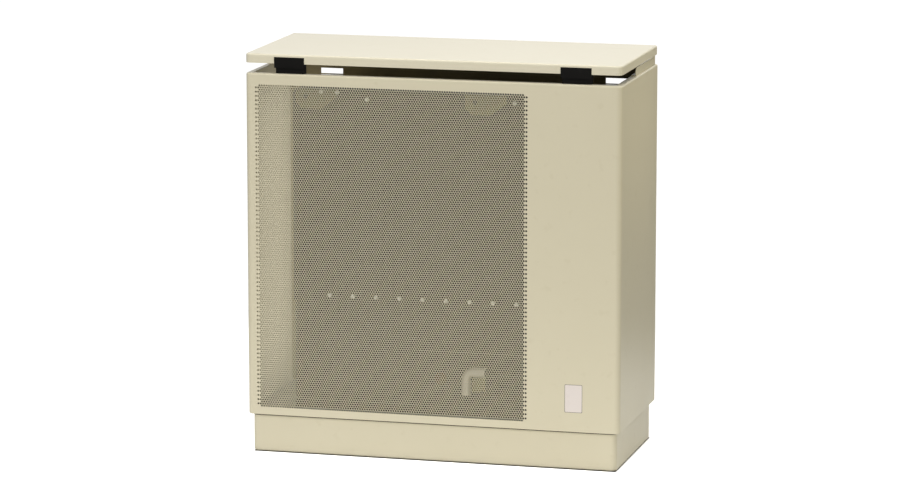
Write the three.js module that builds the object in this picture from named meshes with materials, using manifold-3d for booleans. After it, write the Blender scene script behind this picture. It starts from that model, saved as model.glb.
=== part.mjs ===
// Room-sealed gas convector heater in a folded sheet-steel cabinet on a plinth.
// Millimetres. +X to the user's right, -Y towards the user, +Y towards the wall, +Z up.
// The origin is on the floor, under the middle of the cabinet.
import * as THREE from "three";
import { mergeVertices } from "three/addons/utils/BufferGeometryUtils.js";
import Module from "manifold-3d";

const wasm = await Module();
wasm.setup();

// ---------------------------------------------------------------- driving sizes

// Cabinet
const cabinetWidth = 620;
const cabinetDepth = 270;
const plinthHeight = 62; // as it shows below the casing
const casingHeight = 561;
const outletGap = 16.5; // warm air leaves between the casing and the lid
const lidHeight = 15;
const casingSheet = 1.2;
const frameSheet = 1.5;
const cornerRadius = 9; // upright corners of the casing and the lid
const edgeRadius = 3; // folded edges
const casingTopReturn = 11;
const casingFootReturn = 6;
const slip = 0.3; // between pieces that are fitted one inside or upon another

// Plinth and base
const plinthRecessFront = 6.5;
const plinthRecessSide = 6.5;
const plinthRecessBack = 4.5;
const plinthTopLip = 14;
const plinthFloorLip = 12;
const trayBackGap = 1.5;
const unionInset = 13; // of the gas union's mouth from the wall plane
const trayHeight = 8; // its top above the casing's foot

// Back plate, with two pairs of hanger slots
const backPlateFlange = 25;
const backPlateTopGap = 2.2;
const hangerCentre = 243; // from the middle of the cabinet
const hangerWidth = 38;
const hangerSlot = 9;
const hangerWeb = 2;
const hangerDrop = 23.5; // from the back plate's top edge to the upper slot

// Perforated front: a staggered field of holes
const grilleMarginLeft = 16;
const grilleMarginTop = 17.5;
const grilleMarginFoot = 12.3;
const grilleWidth = 452;
const grilleBorder = 3;
const holePitch = 40;
const holeAcross = 26;

// Lid hinge and front rests
const lidBackGap = 5;
const hingeInset = 12; // from the wall plane
const hingeDrop = 9.5; // below the lid's top face
const hingePinRadius = 2.5;
const hingeEarRadius = 6.5;
const bracketLength = 147;
const bracketSideGap = 3;
const bracketTopGap = 3;
const bracketFoot = 8;
const lugFoot = 11;
const restCentre = 236;
const restWidth = 47.5;
const restSetback = 5;
const restDepth = 13;
const restHook = 9.2; // how far the rest's hook reaches below the casing's top
const shoeWidth = 50;
const shoeDepth = 14;
const shoeBelowLid = 7.1;
const shoeBelowTop = 4.5;
const shoeEar = 3;
const ribLength = 20;
const ribWidth = 4;
const ribHeight = 1.5;

// Combustion chamber and heat exchanger
const heaterLeftGap = 67; // from the cabinet's left side
const heaterFrontGap = 31; // from the cabinet's front
const heaterWidth = 437;
const heaterDepth = 160;
const heaterSheet = 1.5;
const heaterCorner = 12;
const exchangerShoulder = 12;
const chamberBend = 6;
const chamberLift = 14; // of the chamber's floor above the tray
const exchangerFoot = 248; // height of its lower edge above the floor
const exchangerTop = 596;
const seamLap = 22;
const baffleSetback = 96; // from the heater's front
const baffleTopGap = 30;
const baffleEndGap = 14;
const footWidth = 40;
const footBrim = 10;
const footLength = 130;
const footInset = 63; // of each foot's middle from the chamber's end
const stayWidth = 15;
const stayHeight = 40;
const stayLevel = 540;
const liftingLugWidth = 68;
const liftingLugHeight = 32;
const lugInset = 43; // of the left lug's middle from the exchanger's left end
const lugSpacing = 282;

// Balanced flue: the exhaust runs inside the fresh-air collar
const flueLevel = 500;
const flueRadius = 40;
const flueWall = 2;
const flueFlange = 8;
const collarRadius = 65;
const collarWall = 1.5;
const collarFlange = 10;
const ductWidth = 160;
const ductDepth = 43.7;
const ductFoot = 90;
const ductTop = 580;
const ductPortWidth = 100;
const ductPortFoot = 100;
const ductPortTop = 150;
const ductSheet = 1.2;
const gasketLand = 7;

// Burner, its door and what passes through the door
const burnerAxisLevel = 118;
const burnerRadius = 18;
const burnerEndGap = 37; // from the chamber's sides
const burnerSetback = 80; // from the heater's front
const mixerOffset = 295.5; // from the heater's left side
const mixerMouth = 15;
const mixerThroat = 9;
const mixerBore = 6.5;
const portLength = 20;
const portWidth = 5;
const portPitch = 24;
const portDepth = 5;
const saddleSheet = 3;
const saddleInset = 82;
const doorLeft = 213; // from the heater's left side
const doorWidth = 172;
const doorFoot = 86;
const doorHeight = 90;
const doorLap = 12;
const doorSheet = 2;
const doorGasket = 1.5;
const sightRadius = 13;
const sightOffset = 38; // from the door's left edge
const sightLevel = 132;
const micaThickness = 1;
const ringWidth = 6;
const ringThickness = 2.5;

// Gas ways
const feedRadius = 6;
const feedBend = 12;
const feedRunLevel = 146.5;
const injectorBody = 8;
const injectorNozzle = 5.5;
const pilotTubeRadius = 2;
const pilotLevel = 112;
const pilotOffset = 321; // from the heater's left side
const thermocoupleRadius = 1.5;
const thermocoupleLevel = 103;
const thermocoupleOffset = 337;
const leadRadius = 2;
const electrodeRadius = 3;
const electrodeLevel = 126;
const electrodeOffset = 345;
const smallBend = 6;
const supplyRadius = 8;
const supplyBend = 24;
const supplyLevel = 33;
const unionRadius = 14;
const unionLength = 24;
const unionBore = 6;
const tapFoot = 168;
const tapLength = 44;
const tapRadius = 13;
const leverLength = 46;
const leverWidth = 12;
const leverThickness = 2.5;
const sensorRadius = 4;
const sensorLength = 80;
const sensorLift = 16;
const sensorBehindValve = 40;
const capillaryTurn = 50; // below the valve, where the sensor's tube leaves the wall side
const portTurn = 35; // below the valve, where it turns up to its port
const capillaryRadius = 1;

// Controls, under the lid on the right
const partitionGap = 4; // from the heater's right side
const partitionFrontGap = 35;
const partitionBackGap = 30;
const partitionFlange = 15;
const deckLevel = 573; // underside of the control deck
const deckFrontGap = 7;
const deckSideGap = 3.5;
const deckLength = 168;
const deckFlange = 12;
const valveWidth = 60;
const bracketSide = 40; // of the valve's bracket, along the partition
const valveDepth = 92;
const valveHeight = 70;
const valveFoot = 490;
const valveCentre = 62; // from the cabinet's right side
const valveCorner = 6;
const bonnetRadius = 15;
const bonnetHeight = 12;
const inletBoss = 12;
const portBoss = 5;
const spindleRadius = 4;
const spindleInset = 50; // from the valve's back face
const knobRadius = 22;
const knobHeight = 22;
const knobLift = 5; // above the control deck
const knobTravel = 4;
const knobFlutes = 12;
const sleeveWall = 3.6;
const igniterCentre = 17; // from the cabinet's right side
const igniterRadius = 8;
const igniterCollar = 11;
const igniterLength = 54;
const buttonRadius = 6;
const buttonProud = 13;
const buttonTravel = 8;

// Facets
const bendSteps = 3;
const roundSides = 24;
const tubeSides = 8;

// ---------------------------------------------------------------- places that follow from them

const right = cabinetWidth / 2;
const left = -right;
const wall = cabinetDepth / 2;
const front = -wall;
const casingFoot = plinthHeight;
const casingTop = casingFoot + casingHeight;
const lidFoot = casingTop + outletGap;
const lidTop = lidFoot + lidHeight;
const trayTop = casingFoot + trayHeight;
const plinthTop = trayTop - casingSheet;
const sheetInside = edgeRadius + slip; // clears the inside of a folded edge
const hingeY = wall - hingeInset;
const hingeZ = lidTop - hingeDrop;

const heaterLeft = left + heaterLeftGap;
const heaterRight = heaterLeft + heaterWidth;
const heaterFront = front + heaterFrontGap;
const heaterBack = heaterFront + heaterDepth;
const chamberInset = heaterSheet + slip;
const chamberLeft = heaterLeft + chamberInset;
const chamberRight = heaterRight - chamberInset;
const chamberFront = heaterFront + chamberInset;
const chamberBack = heaterBack - chamberInset;
const chamberFoot = trayTop + chamberLift;
const chamberFloor = chamberFoot + heaterSheet;
const burnerY = heaterFront + burnerSetback;
const pilotY = burnerY - burnerRadius - 14;
const mixerX = heaterLeft + mixerOffset;
const flueX = (heaterLeft + heaterRight) / 2;
const ductFront = heaterBack + slip;
const ductBack = ductFront + ductDepth;
const doorX0 = heaterLeft + doorLeft;
const doorX1 = doorX0 + doorWidth;
const doorTop = doorFoot + doorHeight;
const doorBackY = chamberFront - doorGasket;
const doorFrontY = doorBackY - doorSheet;
const feedY = doorFrontY - injectorBody - slip;
const serviceY = feedY - feedRadius + pilotTubeRadius;

const partitionX = heaterRight + partitionGap;
const compartmentLeft = partitionX + casingSheet;
const valveX = right - valveCentre;
const valveBack = 0;
const valveFront = valveBack - valveDepth;
const valveTop = valveFoot + valveHeight;
const spindleY = valveBack - spindleInset;
const supplyY = valveBack - 20;
const igniterX = right - igniterCentre;
const deckTop = deckLevel + casingSheet;
const knobFoot = deckTop + knobLift;

// ---------------------------------------------------------------- finishes

const finish = (color, roughness, metalness) => ({ color, roughness, metalness });
const creamPaint = finish(0xd3ccb2, 0.42, 0);
const darkEnamel = finish(0x33302a, 0.6, 0.1);
const galvanised = finish(0x9c9d98, 0.45, 0.9);
const yellowZinc = finish(0xa39a62, 0.42, 0.85);
const blackPlastic = finish(0x191816, 0.5, 0);
const brass = finish(0xb08d45, 0.35, 1);
const castAluminium = finish(0xb4b5b3, 0.45, 0.9);
const steelTube = finish(0xa9abab, 0.35, 0.9);
const copper = finish(0xb0704c, 0.35, 1);
const gasketFibre = finish(0xd9d5c8, 0.95, 0);
const mica = finish(0xc9a86a, 0.15, 0);
const ceramic = finish(0xece7da, 0.35, 0);
const redRubber = finish(0x8a2d22, 0.6, 0);

// ---------------------------------------------------------------- tools for making solids

// Closed geometry as a solid that can be joined and cut, turned outwards if it is inside out.
function solidOf(geometry) {
  const bare = new THREE.BufferGeometry();
  bare.setAttribute("position", geometry.getAttribute("position"));
  if (geometry.index) bare.setIndex(geometry.index);
  const merged = mergeVertices(bare, 1e-4);
  const vertProperties = merged.attributes.position.array;
  const triVerts = new Uint32Array(merged.index.array);
  const made = new wasm.Manifold(new wasm.Mesh({ numProp: 3, vertProperties, triVerts }));
  if (made.volume() > 0) return made;
  for (let i = 0; i < triVerts.length; i += 3) {
    [triVerts[i], triVerts[i + 1]] = [triVerts[i + 1], triVerts[i]];
  }
  return new wasm.Manifold(new wasm.Mesh({ numProp: 3, vertProperties, triVerts }));
}

function geometryOf(solid) {
  const mesh = solid.getMesh();
  const geometry = new THREE.BufferGeometry();
  geometry.setAttribute("position", new THREE.BufferAttribute(mesh.vertProperties, 3));
  geometry.setIndex(new THREE.BufferAttribute(mesh.triVerts, 1));
  geometry.computeVertexNormals();
  return geometry;
}

const joined = (...solids) => solids.reduce((whole, next) => whole.add(next));
const cutBy = (solid, ...tools) => tools.reduce((rest, tool) => rest.subtract(tool), solid);

function block([x0, y0, z0], [x1, y1, z1]) {
  const geometry = new THREE.BoxGeometry(x1 - x0, y1 - y0, z1 - z0);
  return solidOf(geometry.translate((x0 + x1) / 2, (y0 + y1) / 2, (z0 + z1) / 2));
}

// Which way a drawing's u, v and thickness point in space.
const across = (u, v, w) => new THREE.Matrix4().makeBasis(u, v, w);
const X = new THREE.Vector3(1, 0, 0);
const Y = new THREE.Vector3(0, 1, 0);
const Z = new THREE.Vector3(0, 0, 1);
const planes = {
  z: across(X, Y, Z), // drawn in x, y
  y: across(X, Z, Y.clone().negate()), // drawn in x, z, with its thickness towards -Y
  x: across(Y, Z, X), // drawn in y, z
};

// A flat shape given thickness between two planes square to an axis.
function slab(axis, shape, from, to) {
  const geometry = new THREE.ExtrudeGeometry(shape, {
    depth: to - from,
    bevelEnabled: false,
    curveSegments: roundSides / 2,
  });
  geometry.applyMatrix4(planes[axis]);
  const start = axis === "y" ? to : from;
  const along = { x: X, y: Y, z: Z }[axis].clone().multiplyScalar(start);
  return solidOf(geometry.translate(along.x, along.y, along.z));
}

// A profile of [radius, distance] pairs revolved about an axis through a point.
function turned(axis, centre, profile, sides = roundSides) {
  const points = profile.map(([radius, along]) => new THREE.Vector2(radius, along));
  const geometry = new THREE.LatheGeometry(points, sides);
  if (axis === "z") geometry.rotateX(Math.PI / 2);
  if (axis === "x") geometry.rotateZ(-Math.PI / 2);
  return solidOf(geometry.translate(...centre));
}

const rod = (axis, centre, radius, from, to, sides = roundSides) =>
  turned(axis, centre, [[0, from], [radius, from], [radius, to], [0, to]], sides);

const sleeve = (axis, centre, bore, radius, from, to, sides = roundSides) =>
  turned(axis, centre, [[bore, from], [radius, from], [radius, to], [bore, to], [bore, from]], sides);

function polygonShape(corners) {
  return new THREE.Shape(corners.map(([u, v]) => new THREE.Vector2(u, v)));
}

// A path of straight runs and round bends, stepped only where it bends.
class BentPath extends THREE.Curve {
  constructor(corners, bend) {
    super();
    const points = corners.map((corner) => new THREE.Vector3(...corner));
    this.stations = [points[0]];
    for (let i = 1; i < points.length - 1; i++) {
      const into = points[i].clone().sub(points[i - 1]).normalize();
      const out = points[i + 1].clone().sub(points[i]).normalize();
      const turn = into.angleTo(out);
      const inwards = out.clone().addScaledVector(into, -out.dot(into)).normalize();
      const centre = points[i].clone()
        .addScaledVector(into, -bend * Math.tan(turn / 2))
        .addScaledVector(inwards, bend);
      const steps = Math.max(2, Math.round(turn / (Math.PI / 8)));
      for (let k = 0; k <= steps; k++) {
        const angle = (turn * k) / steps;
        this.stations.push(centre.clone()
          .addScaledVector(inwards, -bend * Math.cos(angle))
          .addScaledVector(into, bend * Math.sin(angle)));
      }
    }
    this.stations.push(points.at(-1));
  }

  getUtoTmapping(u) {
    return u;
  }

  getPoint(t, target = new THREE.Vector3()) {
    const place = THREE.MathUtils.clamp(t, 0, 1) * (this.stations.length - 1);
    const i = Math.min(Math.floor(place), this.stations.length - 2);
    return target.lerpVectors(this.stations[i], this.stations[i + 1], place - i);
  }
}

function tube(corners, radius, bend, sides = tubeSides) {
  const path = new BentPath(corners, bend);
  const section = [];
  for (let i = 0; i < sides; i++) {
    const angle = (2 * Math.PI * i) / sides;
    section.push([radius * Math.cos(angle), radius * Math.sin(angle)]);
  }
  return solidOf(new THREE.ExtrudeGeometry(polygonShape(section), {
    steps: path.stations.length - 1,
    extrudePath: path,
    bevelEnabled: false,
  }));
}

// Triangles over a flat ring of points, wound as the ring runs.
function capOver(ring) {
  const normal = new THREE.Vector3();
  ring.forEach((point, i) => normal.add(point.clone().cross(ring[(i + 1) % ring.length])));
  const size = [Math.abs(normal.x), Math.abs(normal.y), Math.abs(normal.z)];
  const drop = size.indexOf(Math.max(...size));
  const [u, v] = [["y", "z"], ["x", "z"], ["x", "y"]][drop];
  const contour = ring.map((point) => new THREE.Vector2(point[u], point[v]));
  const ringTurns = Math.sign(THREE.ShapeUtils.area(contour));
  return THREE.ShapeUtils.triangulateShape(contour, []).map((face) => {
    const turns = Math.sign(THREE.ShapeUtils.area(face.map((index) => contour[index])));
    return turns === ringTurns ? face : [...face].reverse();
  });
}

// A skin over rings of equally many points, capped at both ends or closed round on itself.
function skin(rings, closedRound = false) {
  const count = rings[0].length;
  const faces = [];
  const bands = closedRound ? rings.length : rings.length - 1;
  for (let i = 0; i < bands; i++) {
    const here = i * count;
    const next = ((i + 1) % rings.length) * count;
    for (let j = 0; j < count; j++) {
      const k = (j + 1) % count;
      faces.push([here + j, here + k, next + k], [here + j, next + k, next + j]);
    }
  }
  if (!closedRound) {
    const end = (rings.length - 1) * count;
    faces.push(...capOver(rings[0]).map((face) => [...face].reverse()));
    faces.push(...capOver(rings.at(-1)).map((face) => face.map((index) => index + end)));
  }
  const geometry = new THREE.BufferGeometry().setFromPoints(rings.flat());
  geometry.setIndex(faces.flat());
  return solidOf(geometry);
}

// A rectangle with rounded corners, drawn at an inset from its outside.
function outline([x0, y0, x1, y1], corner, inset) {
  const radius = Math.max(corner - inset, 0.3);
  const reach = inset + radius;
  const centres = [
    [x1 - reach, y1 - reach], [x0 + reach, y1 - reach],
    [x0 + reach, y0 + reach], [x1 - reach, y0 + reach],
  ];
  return centres.flatMap(([cx, cy], quarter) => {
    const points = [];
    for (let k = 0; k <= bendSteps; k++) {
      const angle = (Math.PI / 2) * (quarter + k / bendSteps);
      points.push([cx + radius * Math.cos(angle), cy + radius * Math.sin(angle)]);
    }
    return points;
  });
}

// The section of a folded edge: insets and distances round a quarter bend.
function quarterBend(radius, reversed = false) {
  const steps = [];
  for (let k = 0; k <= bendSteps; k++) {
    const angle = (Math.PI / 2) * (k / bendSteps);
    steps.push([radius * (1 - Math.sin(angle)), radius * (1 - Math.cos(angle))]);
  }
  return reversed ? steps.reverse() : steps;
}

// A pressed pan: a flat face at height `shut`, folded walls and an open rim at height `rim`.
function pan(area, corner, bend, sheet, shut, rim) {
  const way = Math.sign(rim - shut);
  const loop = (inset, height) =>
    outline(area, corner, inset).map(([x, y]) => new THREE.Vector3(x, y, height));
  const inner = Math.max(bend - sheet, 0.3);
  return skin([
    ...quarterBend(bend).map(([inset, rise]) => loop(inset, shut + way * rise)),
    loop(0, rim),
    loop(sheet, rim),
    ...quarterBend(inner, true).map(([inset, rise]) => loop(sheet + inset, shut + way * (sheet + rise))),
  ]);
}

// The two ends of a span of X on the right-hand side, or its mirror image on the left.
const sideSpan = (side, from, to) => (side > 0 ? [from, to] : [-to, -from]);

const model = new THREE.Group();

function addPiece(name, solid, surface, parent = model) {
  const mesh = new THREE.Mesh(geometryOf(solid), new THREE.MeshStandardMaterial(surface));
  mesh.name = name;
  parent.add(mesh);
  return mesh;
}

const sides = [["left", -1], ["right", 1]];

// ---------------------------------------------------------------- cabinet

// Plinth: a closed frame of lipped sheet up to the tray, cut away at the back for the gas pipe.
function makePlinth() {
  const area = [
    left + plinthRecessSide, front + plinthRecessFront,
    right - plinthRecessSide, wall - plinthRecessBack,
  ];
  const t = frameSheet;
  const section = [
    [0, 0], [0, plinthTop], [plinthTopLip, plinthTop], [plinthTopLip, plinthTop - t],
    [t, plinthTop - t], [t, t], [plinthFloorLip, t], [plinthFloorLip, 0],
  ];
  const frame = skin(section.map(([inset, height]) =>
    outline(area, cornerRadius, inset).map(([x, y]) => new THREE.Vector3(x, y, height))), true);
  const pipeWay = block(
    [valveX - unionRadius - 8, wall - plinthRecessBack - plinthFloorLip - 1, -1],
    [valveX + unionRadius + 8, wall, casingFoot - 8],
  );
  return cutBy(frame, pipeWay);
}

// Base tray: an inverted pan over the plinth; the casing's foot return hooks under its rim.
function makeBaseTray() {
  const area = [left + sheetInside, front + sheetInside, right - sheetInside, wall - trayBackGap];
  const tray = pan(area, cornerRadius, edgeRadius, casingSheet, trayTop, casingFoot + casingSheet);
  return cutBy(tray, rod("z", [valveX, supplyY, 0], supplyRadius + 4, casingFoot, trayTop + 1));
}

// Back plate: a shallow pan against the wall, with hanger slots and the hole for the air collar.
function makeBackPlate() {
  const area = [left + casingSheet + slip, trayTop, right - casingSheet - slip, casingTop - backPlateTopGap];
  const plate = pan(area, edgeRadius, edgeRadius, casingSheet, -wall, backPlateFlange - wall);
  const upright = new wasm.Manifold(plate.getMesh()).transform(planes.y.elements);
  const slots = [];
  for (const [, side] of sides) {
    for (const row of [0, 1]) {
      const top = area[3] - hangerDrop - row * (hangerSlot + hangerWeb);
      const centre = side * hangerCentre;
      slots.push(block(
        [centre - hangerWidth / 2, wall - 5, top - hangerSlot],
        [centre + hangerWidth / 2, wall + 5, top],
      ));
    }
  }
  return cutBy(upright, ...slots, rod("y", [flueX, 0, flueLevel], collarRadius + slip, wall - 5, wall + 5));
}

// Casing: front and sides folded from one sheet, with returns along its top and foot.
function makeCasing() {
  const outside = quarterBend(edgeRadius);
  const inside = quarterBend(edgeRadius - casingSheet);
  const section = [
    [casingFootReturn, casingFoot],
    ...outside.map(([inset, rise]) => [inset, casingFoot + rise]),
    ...quarterBend(edgeRadius, true).map(([inset, rise]) => [inset, casingTop - rise]),
    [casingTopReturn, casingTop],
    [casingTopReturn, casingTop - casingSheet],
    ...inside.map(([inset, rise]) => [casingSheet + inset, casingTop - casingSheet - rise]),
    ...inside.reverse().map(([inset, rise]) => [casingSheet + inset, casingFoot + casingSheet + rise]),
    [casingFootReturn, casingFoot + casingSheet],
  ];
  const area = [left, front, right, wall + 2 * cornerRadius];
  const plans = section.map(([inset]) => outline(area, cornerRadius, inset));
  const corners = plans[0].length / 2; // the outline's back corners come first and are left off
  const stations = [];
  for (let k = corners; k < 2 * corners; k++) {
    stations.push(section.map(([, height], i) => new THREE.Vector3(...plans[i][k], height)));
  }
  const atWall = (station) => station.map((point) => new THREE.Vector3(point.x, wall, point.z));
  const shell = skin([atWall(stations[0]), ...stations, atWall(stations.at(-1))]);
  const [x0, z0, x1, z1] = grilleArea();
  return cutBy(shell, block([x0, front - 1, z0], [x1, front + casingSheet + 1, z1]));
}

function grilleArea() {
  const x0 = left + grilleMarginLeft - grilleBorder;
  return [
    x0, casingFoot + grilleMarginFoot - grilleBorder,
    x0 + grilleWidth + 2 * grilleBorder, casingTop - grilleMarginTop + grilleBorder,
  ];
}

// Perforated front: flush with the casing, pierced by staggered six-sided holes.
function makeGrille() {
  const [x0, z0, x1, z1] = grilleArea();
  const sheet = polygonShape([[x0, z0], [x1, z0], [x1, z1], [x0, z1]]);
  const rowPitch = holePitch * Math.sin(Math.PI / 3);
  const holeTip = holeAcross / Math.sqrt(3);
  const columns = Math.floor((grilleWidth - holeAcross) / holePitch) + 1;
  const rows = Math.floor((z1 - z0 - 2 * grilleBorder - 2 * holeTip) / rowPitch) + 1;
  for (let row = 0; row < rows; row++) {
    const indent = row % 2;
    const level = (z0 + z1) / 2 + (row - (rows - 1) / 2) * rowPitch;
    for (let column = 0; column < columns - indent; column++) {
      const centre = (x0 + x1) / 2 + (column - (columns - 1 - indent) / 2) * holePitch;
      const hole = [];
      for (let k = 0; k < 6; k++) {
        const angle = (Math.PI / 3) * (k + 0.5);
        hole.push(new THREE.Vector2(centre + holeTip * Math.cos(angle), level + holeTip * Math.sin(angle)));
      }
      sheet.holes.push(new THREE.Path(hole));
    }
  }
  return slab("y", sheet, front, front + casingSheet);
}

// ---------------------------------------------------------------- lid

// Lid: a shallow folded tray, open towards the wall, notched for the two front shoes.
function makeLid() {
  const area = [left, front, right, wall + 2 * cornerRadius];
  const tray = pan(area, cornerRadius, edgeRadius, casingSheet, lidTop, lidFoot);
  const behind = block(
    [left - 1, wall - lidBackGap, lidFoot - 1],
    [right + 1, wall + 3 * cornerRadius, lidTop + 1],
  );
  const half = shoeWidth / 2 + slip;
  const notches = sides.map(([, side]) => block(
    [side * restCentre - half, front - 1, lidFoot - 1],
    [side * restCentre + half, front + casingSheet + 0.2, lidTop - shoeBelowTop],
  ));
  return cutBy(tray, behind, ...notches);
}

// Hinge bracket: an angle on the casing's top return, with an ear for the hinge pin.
function makeHingeBracket(side) {
  const outside = right - bracketSideGap;
  const inside = outside - frameSheet;
  const top = lidFoot - bracketTopGap;
  const backEdge = hingeY + hingeEarRadius + 0.5;
  const upright = polygonShape([
    [backEdge - bracketLength, casingTop], [backEdge, casingTop], [backEdge, top],
    [backEdge - bracketLength + 5, top], [backEdge - bracketLength, top - 5],
  ]);
  const web = sideSpan(side, inside, outside);
  const foot = sideSpan(side, outside - bracketFoot, outside);
  const neck = block(
    [web[0], hingeY - hingeEarRadius, casingTop + frameSheet],
    [web[1], hingeY + hingeEarRadius, hingeZ],
  );
  const centre = [0, hingeY, hingeZ];
  return cutBy(
    joined(
      slab("x", upright, ...web),
      neck,
      rod("x", centre, hingeEarRadius, ...web),
      block([foot[0], backEdge - bracketLength, casingTop], [foot[1], backEdge, casingTop + frameSheet]),
    ),
    rod("x", centre, hingePinRadius + slip, ...sideSpan(side, inside - 1, outside + 1)),
  );
}

// Lid lug: a small angle under the lid that turns on the hinge pin, inside the bracket's ear.
function makeLidLug(side) {
  const outside = right - bracketSideGap - 2 * frameSheet;
  const inside = outside - frameSheet;
  const under = lidTop - casingSheet;
  const backEdge = hingeY + hingeEarRadius;
  const centre = [0, hingeY, hingeZ];
  const wallSpan = sideSpan(side, inside, outside);
  const footSpan = sideSpan(side, outside - lugFoot, outside);
  return cutBy(
    joined(
      rod("x", centre, hingeEarRadius, ...wallSpan),
      block([wallSpan[0], hingeY - hingeEarRadius, hingeZ], [wallSpan[1], backEdge, under]),
      block([footSpan[0], hingeY - 2 * hingeEarRadius, under - frameSheet], [footSpan[1], backEdge, under]),
    ),
    rod("x", centre, hingePinRadius + slip, ...sideSpan(side, inside - 1, outside + 1)),
  );
}

// Hinge pin: through the lug and the ear, with its head on the inside.
function makeHingePin(side) {
  const outside = right - bracketSideGap;
  const lugInside = outside - 3 * frameSheet;
  const length = outside - lugInside + frameSheet + slip + 1.1;
  const profile = [
    [0, 0], [hingePinRadius + 2, 0], [hingePinRadius + 2, frameSheet],
    [hingePinRadius, frameSheet], [hingePinRadius, length], [0, length],
  ];
  const pin = turned("x", [0, 0, 0], profile, 16);
  const placed = side > 0 ? pin : pin.rotate([0, 180, 0]);
  return placed.translate([side * (lugInside - frameSheet - slip), hingeY, hingeZ]);
}

// Front rest: a moulded block hooked over the casing's top return; a rib on it locates the shoe.
function makeFrontRest(side) {
  const face = front + restSetback;
  const back = face + restDepth;
  const lipInside = front + casingTopReturn;
  const top = lidFoot - shoeBelowLid - slip;
  const section = polygonShape([
    [face, casingTop], [lipInside + slip, casingTop], [lipInside + slip, casingTop - casingSheet - slip],
    [lipInside - 2.5, casingTop - casingSheet - slip], [lipInside + slip, casingTop - restHook],
    [back, casingTop - restHook], [back, top], [face, top],
  ]);
  const centre = side * restCentre;
  const middle = face + restDepth / 2;
  return joined(
    slab("x", section, centre - restWidth / 2, centre + restWidth / 2),
    block(
      [centre - ribLength / 2, middle - ribWidth / 2, top - 1],
      [centre + ribLength / 2, middle + ribWidth / 2, top + ribHeight],
    ),
  );
}

// Lid shoe: a moulded clip in the lid's front skirt that stands on the front rest.
function makeLidShoe(side) {
  const centre = side * restCentre;
  const half = shoeWidth / 2;
  const foot = lidFoot - shoeBelowLid;
  const top = lidTop - shoeBelowTop - slip;
  const ribY = front + restSetback + restDepth / 2;
  const pocket = block(
    [centre - ribLength / 2 - 0.4, ribY - ribWidth / 2 - 0.4, foot - 1],
    [centre + ribLength / 2 + 0.4, ribY + ribWidth / 2 + 0.4, foot + ribHeight + 0.2],
  );
  return cutBy(
    joined(
      block([centre - half, front, foot], [centre + half, front + shoeDepth, top]),
      block(
        [centre - half - shoeEar, front + casingSheet + slip, lidFoot + slip],
        [centre + half + shoeEar, front + shoeDepth, top],
      ),
    ),
    pocket,
  );
}

addPiece("plinth", makePlinth(), creamPaint);
addPiece("base_tray", makeBaseTray(), galvanised);
addPiece("back_plate", makeBackPlate(), darkEnamel);
addPiece("front_casing", makeCasing(), creamPaint);
addPiece("front_grille", makeGrille(), creamPaint);
addPiece("lid", makeLid(), creamPaint);
for (const [name, side] of sides) {
  addPiece(`hinge_bracket_${name}`, makeHingeBracket(side), creamPaint);
  addPiece(`lid_lug_${name}`, makeLidLug(side), galvanised);
  addPiece(`hinge_pin_${name}`, makeHingePin(side), steelTube);
  addPiece(`front_rest_${name}`, makeFrontRest(side), blackPlastic);
  addPiece(`lid_shoe_${name}`, makeLidShoe(side), blackPlastic);
}

// ---------------------------------------------------------------- combustion chamber and heat exchanger

// Chamber: an open-topped pan round the burner, with a door opening and an air inlet.
function makeChamber() {
  const shell = pan([chamberLeft, chamberFront, chamberRight, chamberBack], heaterCorner, chamberBend,
    heaterSheet, chamberFoot, exchangerFoot + seamLap);
  const doorway = block(
    [doorX0 + doorLap, chamberFront - 1, doorFoot + doorLap],
    [doorX1 - doorLap, chamberFront + 5, doorTop - doorLap],
  );
  const airInlet = block(
    [flueX - ductPortWidth / 2, chamberBack - 5, ductPortFoot],
    [flueX + ductPortWidth / 2, chamberBack + 1, ductPortTop],
  );
  return cutBy(shell, doorway, airInlet);
}

// Exchanger: an inverted pan over the chamber's rim, with the exhaust hole in its back.
function makeExchanger() {
  const shell = pan([heaterLeft, heaterFront, heaterRight, heaterBack], heaterCorner, exchangerShoulder,
    heaterSheet, exchangerTop, exchangerFoot);
  return cutBy(shell, rod("y", [flueX, 0, flueLevel], flueRadius + slip, heaterBack - 5, heaterBack + 1));
}

// Baffle: a shelf and a web that lead the hot gases up the front before they reach the exhaust.
function makeBaffle() {
  const t = heaterSheet;
  const foot = exchangerFoot + seamLap + 10;
  const top = exchangerTop - baffleTopGap;
  const y0 = heaterFront + baffleSetback;
  const y1 = heaterBack - heaterSheet;
  const section = polygonShape([
    [y0, foot], [y1, foot], [y1, foot + stayWidth], [y1 - t, foot + stayWidth],
    [y1 - t, foot + t], [y0 + t, foot + t], [y0 + t, top], [y0, top],
  ]);
  return slab("x", section, heaterLeft + baffleEndGap, heaterRight - baffleEndGap);
}

// Chamber foot: a top-hat section that lifts the chamber off the tray.
function makeChamberFoot(centre) {
  const half = footWidth / 2;
  const brim = half - footBrim;
  const t = frameSheet;
  const section = polygonShape([
    [-half, trayTop], [t - brim, trayTop], [t - brim, chamberFoot - t], [brim - t, chamberFoot - t],
    [brim - t, trayTop], [half, trayTop], [half, trayTop + t], [brim, trayTop + t],
    [brim, chamberFoot], [-brim, chamberFoot], [-brim, trayTop + t], [-half, trayTop + t],
  ].map(([u, v]) => [u + centre, v]));
  const middle = (heaterFront + heaterBack) / 2;
  return slab("y", section, middle - footLength / 2, middle + footLength / 2);
}

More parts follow.
